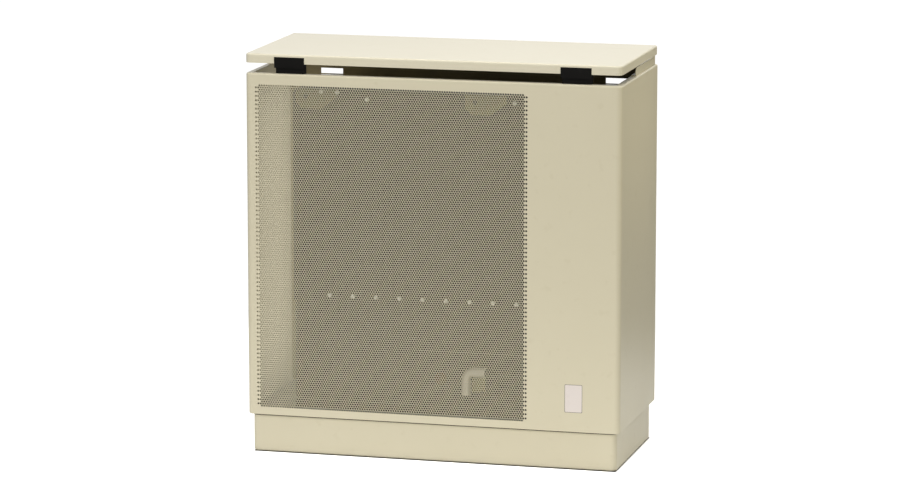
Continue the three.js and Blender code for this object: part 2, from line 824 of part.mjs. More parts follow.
// Stay: a U-section that ties the exchanger's back to the back plate.
function makeStay(side) {
  const x = side > 0 ? heaterRight - 44 : heaterLeft + 44;
  const y0 = heaterBack;
  const y1 = wall - casingSheet;
  const t = frameSheet;
  const reach = side * stayWidth;
  const section = polygonShape([
    [x, y0], [x + reach, y0], [x + reach, y0 + t], [x + side * t, y0 + t],
    [x + side * t, y1 - t], [x + reach, y1 - t], [x + reach, y1], [x, y1],
  ]);
  return slab("z", section, stayLevel, stayLevel + stayHeight);
}

// Lifting lug: a plate with clipped corners on the exchanger's front.
function makeLiftingLug(centre) {
  const half = liftingLugWidth / 2;
  const top = exchangerTop;
  const foot = top - liftingLugHeight;
  const shape = polygonShape([
    [centre - half, foot + 10], [centre - half + 10, foot], [centre + half - 26, foot],
    [centre + half, foot + 20], [centre + half, top], [centre - half, top],
  ]);
  const hole = new THREE.Path();
  hole.absarc(centre - half + 16, top - 12, 4, 0, 2 * Math.PI, true);
  shape.holes.push(hole);
  return slab("y", shape, heaterFront - frameSheet, heaterFront);
}

// Air duct: a flat box behind the exchanger that leads fresh air down to the burner.
function makeAirDuct() {
  const t = ductSheet;
  const half = ductWidth / 2;
  const outer = block([flueX - half, ductFront, ductFoot], [flueX + half, ductBack, ductTop]);
  const inner = block(
    [flueX - half + t, ductFront + t, ductFoot + t],
    [flueX + half - t, ductBack - t, ductTop - t],
  );
  const airOutlet = block(
    [flueX - ductPortWidth / 2, ductFront - 1, ductPortFoot],
    [flueX + ductPortWidth / 2, ductFront + 2 * t, ductPortTop],
  );
  const axis = [flueX, 0, flueLevel];
  return cutBy(
    outer, inner, airOutlet,
    rod("y", axis, flueRadius + slip, ductFront - 1, ductFront + 2 * t),
    rod("y", axis, collarRadius + slip, ductBack - 2 * t, ductBack + 1),
  );
}

// Gasket between the chamber's air inlet and the duct.
function makeDuctGasket() {
  const half = ductPortWidth / 2;
  const land = gasketLand;
  return cutBy(
    block(
      [flueX - half - land, chamberBack, ductPortFoot - land],
      [flueX + half + land, ductFront, ductPortTop + land],
    ),
    block([flueX - half, chamberBack - 1, ductPortFoot], [flueX + half, ductFront + 1, ductPortTop]),
  );
}

// Exhaust pipe: from the exchanger's back through the duct to the wall, flanged inside the duct.
function makeFluePipe() {
  const bore = flueRadius - flueWall;
  const seat = ductFront + ductSheet + slip;
  return turned("y", [flueX, 0, flueLevel], [
    [bore, heaterBack - 4], [flueRadius, heaterBack - 4], [flueRadius, seat], [flueRadius + flueFlange, seat],
    [flueRadius + flueFlange, seat + frameSheet], [flueRadius, seat + frameSheet],
    [flueRadius, wall], [bore, wall], [bore, heaterBack - 4],
  ]);
}

// Air collar: round the exhaust pipe, from the duct to the wall.
function makeAirCollar() {
  const bore = collarRadius - collarWall;
  const seat = ductBack + slip;
  return turned("y", [flueX, 0, flueLevel], [
    [bore, ductBack - ductSheet], [collarRadius, ductBack - ductSheet], [collarRadius, seat],
    [collarRadius + collarFlange, seat], [collarRadius + collarFlange, seat + collarWall],
    [collarRadius, seat + collarWall], [collarRadius, wall], [bore, wall], [bore, ductBack - ductSheet],
  ]);
}

addPiece("combustion_chamber", makeChamber(), darkEnamel);
addPiece("heat_exchanger", makeExchanger(), darkEnamel);
addPiece("flue_baffle", makeBaffle(), darkEnamel);
addPiece("chamber_foot_left", makeChamberFoot(heaterLeft + footInset), galvanised);
addPiece("chamber_foot_right", makeChamberFoot(heaterRight - footInset), galvanised);
for (const [name, side] of sides) addPiece(`exchanger_stay_${name}`, makeStay(side), galvanised);
addPiece("lifting_lug_left", makeLiftingLug(heaterLeft + lugInset), yellowZinc);
addPiece("lifting_lug_right", makeLiftingLug(heaterLeft + lugInset + lugSpacing), yellowZinc);
addPiece("air_duct", makeAirDuct(), galvanised);
addPiece("duct_gasket", makeDuctGasket(), gasketFibre);
addPiece("flue_pipe", makeFluePipe(), steelTube);
addPiece("air_collar", makeAirCollar(), galvanised);

// ---------------------------------------------------------------- burner

// Main burner: a bar with a row of ports, and a bell-mouthed mixing tube on its front.
function makeBurner() {
  const x0 = chamberLeft + burnerEndGap;
  const x1 = chamberRight - burnerEndGap;
  const axis = [0, burnerY, burnerAxisLevel];
  const bar = turned("x", axis, [
    [0, x0], [burnerRadius - 3, x0], [burnerRadius, x0 + 3],
    [burnerRadius, x1 - 3], [burnerRadius - 3, x1], [0, x1],
  ], 16);
  const mouth = chamberFront + 7;
  const throat = mouth + 15;
  const end = burnerY - burnerRadius;
  const mixer = turned("y", [mixerX, 0, burnerAxisLevel], [
    [0, mouth], [mixerMouth, mouth], [mixerThroat, throat], [mixerThroat + 2, end], [0, burnerY],
  ], 16);
  const bore = turned("y", [mixerX, 0, burnerAxisLevel], [
    [0, mouth - 1], [mixerMouth - 2, mouth - 1], [mixerBore, throat], [mixerBore, end], [0, burnerY],
  ], 16);
  const ports = [];
  const top = burnerAxisLevel + burnerRadius;
  const count = Math.floor((x1 - x0 - 20) / portPitch);
  for (let i = 0; i < count; i++) {
    const x = (x0 + x1) / 2 + (i - (count - 1) / 2) * portPitch;
    ports.push(block(
      [x - portWidth / 2, burnerY - portLength / 2, top - portDepth],
      [x + portWidth / 2, burnerY + portLength / 2, top + 1],
    ));
  }
  return cutBy(joined(bar, mixer), bore, ...ports);
}

// Saddle: a plate with a round seat that carries the burner on the chamber's floor.
function makeSaddle(x) {
  const half = burnerRadius + 4;
  const plate = slab("x", polygonShape([
    [burnerY - half, chamberFloor], [burnerY + half, chamberFloor],
    [burnerY + half, burnerAxisLevel], [burnerY - half, burnerAxisLevel],
  ]), x, x + saddleSheet);
  const foot = block([x, burnerY - half, chamberFloor], [x + 15, burnerY + half, chamberFloor + frameSheet]);
  const seat = rod("x", [0, burnerY, burnerAxisLevel], burnerRadius + slip, x - 1, x + 16, 16);
  return cutBy(joined(plate, foot), seat);
}

// Holes in the door, each as [x, level, radius], for what passes through it.
const doorHoles = [
  [mixerX, burnerAxisLevel, injectorNozzle + slip],
  [heaterLeft + pilotOffset, pilotLevel, pilotTubeRadius + 1.5 + slip],
  [heaterLeft + thermocoupleOffset, thermocoupleLevel, thermocoupleRadius + slip],
  [heaterLeft + electrodeOffset, electrodeLevel, electrodeRadius + slip],
];

// Burner door: closes the chamber's front and carries the injector, the pilot and the sight glass.
function makeDoor() {
  const plate = block([doorX0, doorFrontY, doorFoot], [doorX1, doorBackY, doorTop]);
  const holes = [...doorHoles, [doorX0 + sightOffset, sightLevel, sightRadius]];
  return cutBy(plate, ...holes.map(([x, z, radius]) =>
    rod("y", [x, 0, z], radius, doorFrontY - 1, doorBackY + 1, 16)));
}

function makeDoorGasket() {
  return cutBy(
    block([doorX0, doorBackY, doorFoot], [doorX1, chamberFront, doorTop]),
    block(
      [doorX0 + doorLap, doorBackY - 1, doorFoot + doorLap],
      [doorX1 - doorLap, chamberFront + 1, doorTop - doorLap],
    ),
  );
}

const sightAxis = [doorX0 + sightOffset, 0, sightLevel];
const micaFace = doorFrontY - micaThickness;

// Ring that clamps the sight glass on the door.
function makeSightRing() {
  const radius = sightRadius + ringWidth;
  return sleeve("y", sightAxis, sightRadius - 2, radius, micaFace - ringThickness, micaFace);
}

// Injector holder: an elbow whose nozzle looks into the burner's bell mouth.
function makeInjector() {
  const top = burnerAxisLevel + injectorBody + 3;
  const body = rod("z", [mixerX, feedY, 0], injectorBody, burnerAxisLevel - injectorBody - 1, top, 12);
  const nozzle = turned("y", [mixerX, 0, burnerAxisLevel], [
    [0, feedY], [injectorNozzle, feedY], [injectorNozzle, chamberFront + 1],
    [2, chamberFront + 5], [0, chamberFront + 5],
  ], 16);
  return joined(body, nozzle);
}

// Pilot burner: a stem through the door and a hooded head beside the main burner.
function makePilot() {
  const x = heaterLeft + pilotOffset;
  const radius = pilotTubeRadius + 1.5;
  const hood = burnerAxisLevel + burnerRadius - 5;
  return joined(
    rod("y", [x, 0, pilotLevel], radius, doorFrontY - 3, pilotY, 12),
    rod("z", [x, pilotY, 0], radius + 1.5, pilotLevel - 5, hood + 3, 12),
    block([x - 6, pilotY - 6, hood], [x + 6, pilotY + 8, hood + 2]),
  );
}

// Ignition electrode: a ceramic rod through the door, with a wire tip at the pilot's hood.
function makeElectrode() {
  const x = heaterLeft + electrodeOffset;
  const tip = [x - 12, pilotY, electrodeLevel + 10];
  return joined(
    rod("y", [x, 0, electrodeLevel], electrodeRadius, doorFrontY - 8, pilotY - 12, 10),
    tube([[x, pilotY - 13, electrodeLevel], [x, pilotY, electrodeLevel], tip], 1, 3, 6),
  );
}

addPiece("main_burner", makeBurner(), steelTube);
addPiece("burner_saddle_left", makeSaddle(chamberLeft + saddleInset), galvanised);
addPiece("burner_saddle_right", makeSaddle(chamberRight - saddleInset), galvanised);
addPiece("burner_door", makeDoor(), yellowZinc);
addPiece("door_gasket", makeDoorGasket(), gasketFibre);
addPiece("sight_glass", rod("y", sightAxis, sightRadius + ringWidth - 1, micaFace, doorFrontY), mica);
addPiece("sight_ring", makeSightRing(), steelTube);
addPiece("injector_holder", makeInjector(), brass);
addPiece("pilot_burner", makePilot(), steelTube);
addPiece("ignition_electrode", makeElectrode(), ceramic);

// ---------------------------------------------------------------- control compartment

// Partition: a channel that keeps the exchanger's heat off the controls.
function makePartition() {
  const t = casingSheet;
  const x = partitionX;
  const edge = x + partitionFlange;
  const section = polygonShape([
    [x, trayTop], [edge, trayTop], [edge, trayTop + t], [x + t, trayTop + t],
    [x + t, deckLevel - t], [edge, deckLevel - t], [edge, deckLevel], [x, deckLevel],
  ]);
  return slab("y", section, front + partitionFrontGap, wall - partitionBackGap);
}

// Control deck: a lipped plate under the lid, pierced for the knob and the igniter.
function makeDeck() {
  const x0 = partitionX;
  const x1 = right - deckSideGap;
  const y0 = front + deckFrontGap;
  const t = casingSheet;
  return cutBy(
    joined(
      block([x0, y0, deckLevel], [x1, y0 + deckLength, deckTop]),
      block([x0, y0, deckLevel - deckFlange], [x1, y0 + t, deckTop]),
      block([x1 - t, y0, deckLevel - deckFlange], [x1, y0 + deckLength, deckTop]),
    ),
    rod("z", [valveX, spindleY, 0], spindleRadius + sleeveWall + 4, deckLevel - 1, deckTop + 1),
    rod("z", [igniterX, spindleY, 0], igniterRadius + slip, deckLevel - 1, deckTop + 1),
  );
}

// Valve bracket: an angle that carries the gas valve on the partition.
function makeValveBracket() {
  const t = frameSheet;
  const x0 = compartmentLeft;
  const x1 = valveX + valveWidth / 2;
  const section = polygonShape([
    [x0, valveBack], [x1, valveBack], [x1, valveBack + t],
    [x0 + t, valveBack + t], [x0 + t, valveBack + bracketSide], [x0, valveBack + bracketSide],
  ]);
  return slab("z", section, valveFoot + 10, valveTop - 10);
}

// Places where the small pipes leave the valve's underside, as [x, y].
const pilotPort = [valveX - 20, valveFront + 12];
const thermocouplePort = [valveX - 10, valveFront + 32];
const sensorPort = [valveX + 20, valveBack - 12];

// Gas valve: a cast body with a bored bonnet for the spindle, pipe bosses and a magnet housing.
function makeValve() {
  const half = valveWidth / 2;
  const r = valveCorner;
  const plan = new THREE.Shape();
  plan.moveTo(valveX - half + r, valveFront);
  plan.lineTo(valveX + half - r, valveFront);
  plan.absarc(valveX + half - r, valveFront + r, r, -Math.PI / 2, 0, false);
  plan.lineTo(valveX + half, valveBack);
  plan.lineTo(valveX - half, valveBack);
  plan.absarc(valveX - half + r, valveFront + r, r, Math.PI, 1.5 * Math.PI, false);
  const body = slab("z", plan, valveFoot, valveTop);
  const stem = [valveX, spindleY, 0];
  const small = ([x, y]) => rod("z", [x, y, 0], portBoss, valveFoot - 6, valveFoot + 1, 12);
  const solid = joined(
    body,
    rod("z", stem, bonnetRadius, valveTop - 1, valveTop + bonnetHeight),
    rod("z", [valveX, supplyY, 0], inletBoss, valveFoot - 12, valveFoot + 1, 12),
    rod("y", [valveX, 0, valveFoot + 15], inletBoss - 2, valveFront - 8, valveFront + 1, 12),
    rod("x", [0, valveFront + 30, valveFoot + 30], 13, valveX - half - 14, valveX - half + 1, 16),
    small(pilotPort), small(thermocouplePort), small(sensorPort),
  );
  const sleeveBore = spindleRadius + sleeveWall + 2 * slip;
  const sleeveFloor = valveTop + 1;
  return cutBy(
    solid,
    rod("z", stem, sleeveBore, sleeveFloor, valveTop + bonnetHeight + 1),
    rod("z", stem, spindleRadius + slip, valveTop - 20, sleeveFloor + 1),
  );
}

addPiece("partition", makePartition(), galvanised);
addPiece("control_deck", makeDeck(), creamPaint);
addPiece("valve_bracket", makeValveBracket(), galvanised);
addPiece("gas_valve", makeValve(), castAluminium);

// Knob group: everything that turns or is pressed about the valve's spindle, from the knob's foot.
const knobGroup = new THREE.Group();
knobGroup.position.set(valveX, spindleY, knobFoot);
model.add(knobGroup);

// Fluted grip over a round skirt, with a blind socket for the spindle.
function makeKnob() {
  const grip = new THREE.Shape();
  const gripRadius = knobRadius - 4;
  const points = [];
  for (let i = 0; i < 2 * knobFlutes; i++) {
    const angle = (Math.PI * i) / knobFlutes;
    const radius = i % 2 ? gripRadius - 1.2 : gripRadius;
    points.push(new THREE.Vector2(radius * Math.cos(angle), radius * Math.sin(angle)));
  }
  grip.setFromPoints(points);
  const skirt = turned("z", [0, 0, 0], [[0, 0], [knobRadius, 0], [knobRadius, 4], [gripRadius, 7], [0, 7]]);
  return cutBy(
    joined(skirt, slab("z", grip, 6, knobHeight)),
    rod("z", [0, 0, 0], spindleRadius + slip, -1, knobHeight - 4, 16),
  );
}

addPiece("control_knob", makeKnob(), blackPlastic, knobGroup);
const spindleFoot = valveTop - 20 + knobTravel + 1 - knobFoot;
addPiece("control_spindle",
  rod("z", [0, 0, 0], spindleRadius, spindleFoot, knobHeight - 5, 16), brass, knobGroup);
const sleeveFoot = valveTop + 1 + knobTravel + 1 - knobFoot;
const sleeveRadius = spindleRadius + sleeveWall;
addPiece("spindle_sleeve",
  sleeve("z", [0, 0, 0], spindleRadius + slip, sleeveRadius, sleeveFoot, -slip, 16), brass, knobGroup);

// Igniter group: the piezo barrel in the deck and its push button, from the deck's top face.
const igniterGroup = new THREE.Group();
igniterGroup.position.set(igniterX, spindleY, deckTop);
model.add(igniterGroup);
const boreDepth = buttonTravel + 26;
const collarHeight = 3.6;
addPiece("igniter_body", turned("z", [0, 0, 0], [
  [0, -igniterLength], [igniterRadius, -igniterLength], [igniterRadius, slip], [igniterCollar, slip],
  [igniterCollar, collarHeight - 0.6], [igniterCollar - 1, collarHeight],
  [buttonRadius + slip, collarHeight], [buttonRadius + slip, -boreDepth], [0, -boreDepth],
], 20), blackPlastic, igniterGroup);
const buttonTop = collarHeight + buttonProud;
const buttonFoot = buttonTravel + 1 - boreDepth;
addPiece("igniter_button", turned("z", [0, 0, 0], [
  [0, buttonFoot], [buttonRadius, buttonFoot], [buttonRadius, buttonTop - 2],
  [buttonRadius - 0.6, buttonTop - 0.6], [buttonRadius - 2, buttonTop], [0, buttonTop],
], 20), redRubber, igniterGroup);

// ---------------------------------------------------------------- pipes, tap and sensor

const underPort = valveFoot - 6 - slip;
const valveOutlet = valveFront - 8 - slip;
const outletLevel = valveFoot + 15;

// Feed pipe: out of the valve's front, down, and along the heater's front to the injector.
addPiece("feed_pipe", tube([
  [valveX, valveOutlet, outletLevel], [valveX, feedY, outletLevel], [valveX, feedY, feedRunLevel],
  [mixerX, feedY, feedRunLevel], [mixerX, feedY, burnerAxisLevel + injectorBody + 3 + slip],
], feedRadius, feedBend, 10), steelTube);

const pilotX = heaterLeft + pilotOffset;
// Pilot tube: from the valve's underside to the stem in the door.
addPiece("pilot_tube", tube([
  [...pilotPort, underPort], [...pilotPort, pilotLevel], [compartmentLeft + 8, serviceY, pilotLevel],
  [pilotX, serviceY, pilotLevel], [pilotX, doorFrontY - 3 - slip, pilotLevel],
], pilotTubeRadius, smallBend), copper);

// Thermocouple: its lead from the valve, through the door, to the tip beside the pilot.
const thermocoupleX = heaterLeft + thermocoupleOffset;
addPiece("thermocouple", tube([
  [...thermocouplePort, underPort], [...thermocouplePort, thermocoupleLevel],
  [compartmentLeft + 14, serviceY, thermocoupleLevel], [thermocoupleX, serviceY, thermocoupleLevel],
  [thermocoupleX, pilotY, thermocoupleLevel],
  [thermocoupleX, pilotY, burnerAxisLevel + burnerRadius - 6],
], thermocoupleRadius, smallBend), copper);

// Ignition lead: from the igniter's foot to the electrode, clipped along the same way.
const electrodeX = heaterLeft + electrodeOffset;
addPiece("ignition_lead", tube([
  [igniterX, spindleY, deckTop - igniterLength - slip], [igniterX, spindleY, electrodeLevel],
  [compartmentLeft + 22, serviceY, electrodeLevel], [electrodeX, serviceY, electrodeLevel],
  [electrodeX, doorFrontY - 8 - slip, electrodeLevel],
], leadRadius, 3), redRubber);

// Supply pipe: from the union at the back of the plinth to the gas tap.
const unionBack = wall - unionInset;
const unionFront = unionBack - unionLength;
addPiece("supply_pipe", tube([
  [valveX, unionFront - slip, supplyLevel], [valveX, supplyY, supplyLevel], [valveX, supplyY, tapFoot - slip],
], supplyRadius, supplyBend, 12), steelTube);
addPiece("inlet_union", turned("y", [valveX, 0, supplyLevel], [
  [0, unionFront], [unionRadius - 2, unionFront], [unionRadius, unionFront + 2], [unionRadius, unionBack - 1],
  [unionRadius - 1, unionBack], [unionBore, unionBack], [unionBore, unionBack - 16], [0, unionBack - 16],
], 12), brass);
addPiece("riser_pipe", rod("z", [valveX, supplyY, 0], supplyRadius,
  tapFoot + tapLength + slip, valveFoot - 12 - slip, 12), steelTube);

// Gas tap group: a ball valve body on the supply pipe and its quarter-turn lever, from the ball's centre.
const tapGroup = new THREE.Group();
tapGroup.position.set(valveX, supplyY, tapFoot + tapLength / 2);
model.add(tapGroup);
const stemSeat = -tapRadius - 5;
addPiece("gas_tap", cutBy(
  joined(
    turned("z", [0, 0, 0], [
      [0, -tapLength / 2], [tapRadius - 1, -tapLength / 2], [tapRadius - 1, -10], [tapRadius + 1, -6],
      [tapRadius + 1, 6], [tapRadius - 1, 10], [tapRadius - 1, tapLength / 2], [0, tapLength / 2],
    ], 12),
    rod("y", [0, 0, 0], 6, stemSeat, 0, 12),
  ),
  rod("y", [0, 0, 0], 3 + slip, stemSeat - 1, stemSeat + 7, 12),
), brass, tapGroup);
const leverFace = stemSeat - slip - leverThickness;
const leverShape = new THREE.Shape();
leverShape.absarc(0, 0, leverWidth / 2 + 2, Math.PI - 0.6, 2 * Math.PI + 0.6, false);
leverShape.absarc(0, leverLength - leverWidth / 2, leverWidth / 2, 0, Math.PI, false);
addPiece("tap_lever", joined(
  slab("y", leverShape, leverFace, leverFace + leverThickness),
  rod("y", [0, 0, 0], 3, leverFace + 1, stemSeat + 6, 12),
), redRubber, tapGroup);

// Thermostat sensor: a bulb low in the compartment and its capillary up to the valve.
const sensorY = valveBack + sensorBehindValve;
const sensorZ = trayTop + sensorLift;
const sensorX0 = valveX - sensorLength / 2 + 7;
const sensorX1 = sensorX0 + sensorLength;
const capillaryX = sensorX1 + 7;
addPiece("room_sensor", joined(
  turned("x", [0, sensorY, sensorZ], [
    [0, sensorX0], [sensorRadius - 1, sensorX0], [sensorRadius, sensorX0 + 2], [sensorRadius, sensorX1 - 3],
    [capillaryRadius, sensorX1], [0, sensorX1],
  ], 12),
  tube([
    [sensorX1 - 4, sensorY, sensorZ], [capillaryX, sensorY, sensorZ],
    [capillaryX, sensorY, valveFoot - capillaryTurn],
    [sensorPort[0], sensorPort[1], valveFoot - portTurn], [...sensorPort, underPort],
  ], capillaryRadius, smallBend, 6),
), copper);

// Sensor clip: a post on the tray with an open cradle for the bulb.
function makeSensorClip() {
  const x = valveX;
  const outer = sensorRadius + 3;
  const post = block([x - 5, sensorY - outer, trayTop], [x + 5, sensorY + outer, sensorZ + 2]);
  const foot = block([x - 5, sensorY - outer, trayTop], [x + 18, sensorY + outer, trayTop + 2]);
  return cutBy(
    joined(post, foot),
    rod("x", [0, sensorY, sensorZ], sensorRadius + slip, x - 6, x + 6, 12),
    block([x - 6, sensorY - sensorRadius + 0.5, sensorZ], [x + 6, sensorY + sensorRadius - 0.5, sensorZ + 6]),
  );
}
addPiece("sensor_clip", makeSensorClip(), blackPlastic);

export default model;
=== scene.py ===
import math

import bmesh
import bpy
import numpy as np
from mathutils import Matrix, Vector


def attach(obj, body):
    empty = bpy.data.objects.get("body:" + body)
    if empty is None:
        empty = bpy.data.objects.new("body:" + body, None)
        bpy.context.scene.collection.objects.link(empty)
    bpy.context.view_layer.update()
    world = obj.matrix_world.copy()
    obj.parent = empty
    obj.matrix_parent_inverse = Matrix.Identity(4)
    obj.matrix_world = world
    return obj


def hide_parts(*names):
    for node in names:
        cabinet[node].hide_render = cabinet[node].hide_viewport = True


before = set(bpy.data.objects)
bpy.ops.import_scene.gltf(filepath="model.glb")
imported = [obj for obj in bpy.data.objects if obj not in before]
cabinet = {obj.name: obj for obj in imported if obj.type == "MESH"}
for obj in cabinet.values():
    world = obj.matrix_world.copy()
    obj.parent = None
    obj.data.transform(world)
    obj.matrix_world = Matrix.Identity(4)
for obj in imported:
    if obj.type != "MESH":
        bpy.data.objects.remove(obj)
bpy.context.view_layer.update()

# ---- Studio ----
# A white floor that runs out of sight, a pale surround, and soft light from the upper left,
# with the camera where the photographer stood: far off, to the right of the heater and above it.
scene = bpy.context.scene
scene.view_settings.view_transform = "Standard"

camera_data = bpy.data.cameras.new("camera")
camera_data.sensor_width = 36.0
focal_length, photo_width = 4215.0, 900.0  # both in the photograph's pixels
camera_data.lens = focal_length * camera_data.sensor_width / photo_width
camera_data.clip_end = 100.0
camera = bpy.data.objects.new("camera", camera_data)
scene.collection.objects.link(camera)
yaw, pitch, roll = math.radians(14.741), math.radians(10.248), math.radians(0.005)
look = Vector((-math.sin(yaw) * math.cos(pitch), math.cos(yaw) * math.cos(pitch), -math.sin(pitch)))
camera.location = (1.7185, -6.5493, 1.5480)
camera.rotation_euler = look.to_track_quat("-Z", "Y").to_euler()
camera.rotation_euler.rotate_axis("Z", roll)
scene.camera = camera

# The colour sockets of a Mix node go by number, as several of its sockets share a name.
MIX_FIRST, MIX_SECOND, MIX_RESULT = 6, 7, 2


def feed(tree, node, feeds):
    """Feeds a node's inputs: a socket is linked, and anything else is set as the input's value."""
    for name, source in feeds.items():
        if isinstance(source, bpy.types.NodeSocket):
            tree.links.new(source, node.inputs[name])
        else:
            node.inputs[name].default_value = source


def add_node(tree, kind, feeds, **settings):
    """A new node of a kind, with its settings made and its inputs fed."""
    node = tree.nodes.new(kind)
    for name, value in settings.items():
        setattr(node, name, value)
    feed(tree, node, feeds)
    return node


def backdrop_rays(tree, gloss_share):
    """How much of the bright backdrop a ray sees: all of it straight from the camera, and
    otherwise its transmission plus gloss_share times its gloss, up to 1."""
    rays = add_node(tree, "ShaderNodeLightPath", {})
    bounced = add_node(tree, "ShaderNodeMath", {
        0: rays.outputs["Is Glossy Ray"], 1: gloss_share, 2: rays.outputs["Is Transmission Ray"],
    }, operation="MULTIPLY_ADD", use_clamp=True)
    direct = add_node(tree, "ShaderNodeMath", {0: rays.outputs["Is Camera Ray"], 1: bounced.outputs[0]},
                      operation="MAXIMUM")
    return direct.outputs[0]


world = bpy.data.worlds.new("surround")
scene.world = world
world.use_nodes = True
sky = world.node_tree
sky.nodes.clear()
ambient = add_node(sky, "ShaderNodeBackground", {"Color": (1.0, 0.985, 0.94, 1.0), "Strength": 0.26})
pale = add_node(sky, "ShaderNodeBackground", {"Color": (0.8, 0.8, 0.8, 1.0), "Strength": 1.0})
either = add_node(sky, "ShaderNodeMixShader", {
    0: backdrop_rays(sky, 1.0), 1: ambient.outputs[0], 2: pale.outputs[0]})
add_node(sky, "ShaderNodeOutputWorld", {"Surface": either.outputs[0]})

# Three large soft lamps light the heater. The fourth brightens the right side towards its top, and
# the last is a slip of soft light in the left air way, for the daylight on the casing's inner wall.
for label, place, target, size, watts, colour in (
    ("key", (-1.1, -3.2, 2.3), (0.0, 0.0, 0.35), (2.0, 2.0), 86.0, (1.0, 0.985, 0.955)),
    ("fill", (3.0, -3.6, 2.0), (0.0, 0.0, 0.35), (2.4, 2.4), 26.0, (1.0, 0.95, 0.66)),
    ("overhead", (0.45, -0.1, 2.5), (0.0, 0.0, 0.35), (1.6, 1.6), 33.5, (1.0, 0.995, 0.98)),
    ("side_top", (0.68, 0.0, 0.61), (0.31, 0.0, 0.55), (0.30, 0.10), 0.52, (1.0, 0.91, 0.64)),
    ("air_way", (-0.2448, 0.022, 0.335), (-0.4, 0.022, 0.335), (0.21, 0.51), 0.262, (1.0, 0.985, 0.93)),
):
    lamp = bpy.data.lights.new(label, "AREA")
    lamp.shape = "RECTANGLE"
    lamp.size, lamp.size_y = size
    lamp.energy = watts
    lamp.color = colour
    lamp_object = bpy.data.objects.new(label, lamp)
    scene.collection.objects.link(lamp_object)
    lamp_object.location = place
    aim = Vector(target) - Vector(place)
    lamp_object.rotation_euler = aim.to_track_quat("-Z", "Y").to_euler()
    lamp_object.visible_camera = False
    lamp_object.visible_glossy = label == "fill"

floor_half = 30.0
floor_mesh = bpy.data.meshes.new("floor")
floor_mesh.from_pydata([(-floor_half, -floor_half, 0), (floor_half, -floor_half, 0),
                        (floor_half, floor_half, 0), (-floor_half, floor_half, 0)], [], [(0, 1, 2, 3)])
floor = bpy.data.objects.new("floor", floor_mesh)
scene.collection.objects.link(floor)
# The paper is white round the heater and grey further off, so that it lights the heater from near
# by alone. Seen directly or through glass it is white all over, but for the shadow line at the
# foot, and a gloss shows it dimly, as the enamel's side would otherwise be washed out.
floor_paper = bpy.data.materials.new("floor_paper")
floor_paper.use_nodes = True
paper = floor_paper.node_tree
# distance from the plinth's foot: the length of max(|point - its centre| - its half size, 0)
to_foot_centre, foot_half = (-0.0014, 0.00165, 0.0), (0.3009, 0.12865, 0.0)
place = add_node(paper, "ShaderNodeTexCoord", {})
centred = add_node(paper, "ShaderNodeMapping", {
    "Vector": place.outputs["Object"], "Location": to_foot_centre})
mirrored = add_node(paper, "ShaderNodeVectorMath", {0: centred.outputs["Vector"]}, operation="ABSOLUTE")
beyond = add_node(paper, "ShaderNodeVectorMath", {0: mirrored.outputs[0], 1: foot_half}, operation="SUBTRACT")
outside = add_node(paper, "ShaderNodeVectorMath", {0: beyond.outputs[0]}, operation="MAXIMUM")
distance = add_node(paper, "ShaderNodeVectorMath", {0: outside.outputs[0]}, operation="LENGTH")
foot_distance = distance.outputs["Value"]
# base colour: a painted shadow line along the foot, white round the heater, grey further off
far = add_node(paper, "ShaderNodeMapRange", {"Value": foot_distance, "From Min": 0.35, "From Max": 1.1},
               interpolation_type="SMOOTHSTEP").outputs["Result"]
paper_tone = add_node(paper, "ShaderNodeMix", {
    0: far, MIX_FIRST: (0.92, 0.918, 0.915, 1.0), MIX_SECOND: (0.12, 0.12, 0.11, 1.0)}, data_type="RGBA")
past_painted_shadow = add_node(paper, "ShaderNodeMapRange", {"Value": foot_distance, "From Max": 0.0025})
painted_foot_shadow = add_node(paper, "ShaderNodeMix", {
    0: past_painted_shadow.outputs["Result"], MIX_FIRST: (0.035, 0.033, 0.028, 1.0),
    MIX_SECOND: paper_tone.outputs[MIX_RESULT]}, data_type="RGBA")
# glow: none in the painted shadow line, 0.86 round the heater, and 1 further off
past_shadow = add_node(paper, "ShaderNodeMapRange", {
    "Value": foot_distance, "From Min": 0.0008, "From Max": 0.005, "To Max": 0.86})
glow = add_node(paper, "ShaderNodeMath", {0: past_shadow.outputs["Result"], 1: far}, operation="MAXIMUM")
seen_glow = add_node(paper, "ShaderNodeMath", {0: glow.outputs[0], 1: backdrop_rays(paper, 0.10)},
                     operation="MULTIPLY")
feed(paper, paper.nodes["Principled BSDF"], {
    "Base Color": painted_foot_shadow.outputs[MIX_RESULT], "Roughness": 0.9, "Specular IOR Level": 0.1,
    "Emission Color": (1.0, 1.0, 1.0, 1.0), "Emission Strength": seen_glow.outputs[0]})
floor_mesh.materials.append(floor_paper)


# ---- Plinth ----
# The recessed foot of the cabinet: one loop of folded sheet, in the same stoved enamel as the
# casing, with a lip round its top for the tray and a lip round its foot to stand on.
def noise_in(tree, scale, detail=2.0, stretch=(1.0, 1.0, 1.0)):
    """Noise on the object's own coordinates, `scale` cells to a metre, stretched along an axis."""
    place = add_node(tree, "ShaderNodeTexCoord", {})
    turn = add_node(tree, "ShaderNodeMapping", {"Vector": place.outputs["Object"], "Scale": stretch})
    noise = add_node(tree, "ShaderNodeTexNoise", {
        "Vector": turn.outputs["Vector"], "Scale": scale, "Detail": detail})
    return noise.outputs["Fac"]


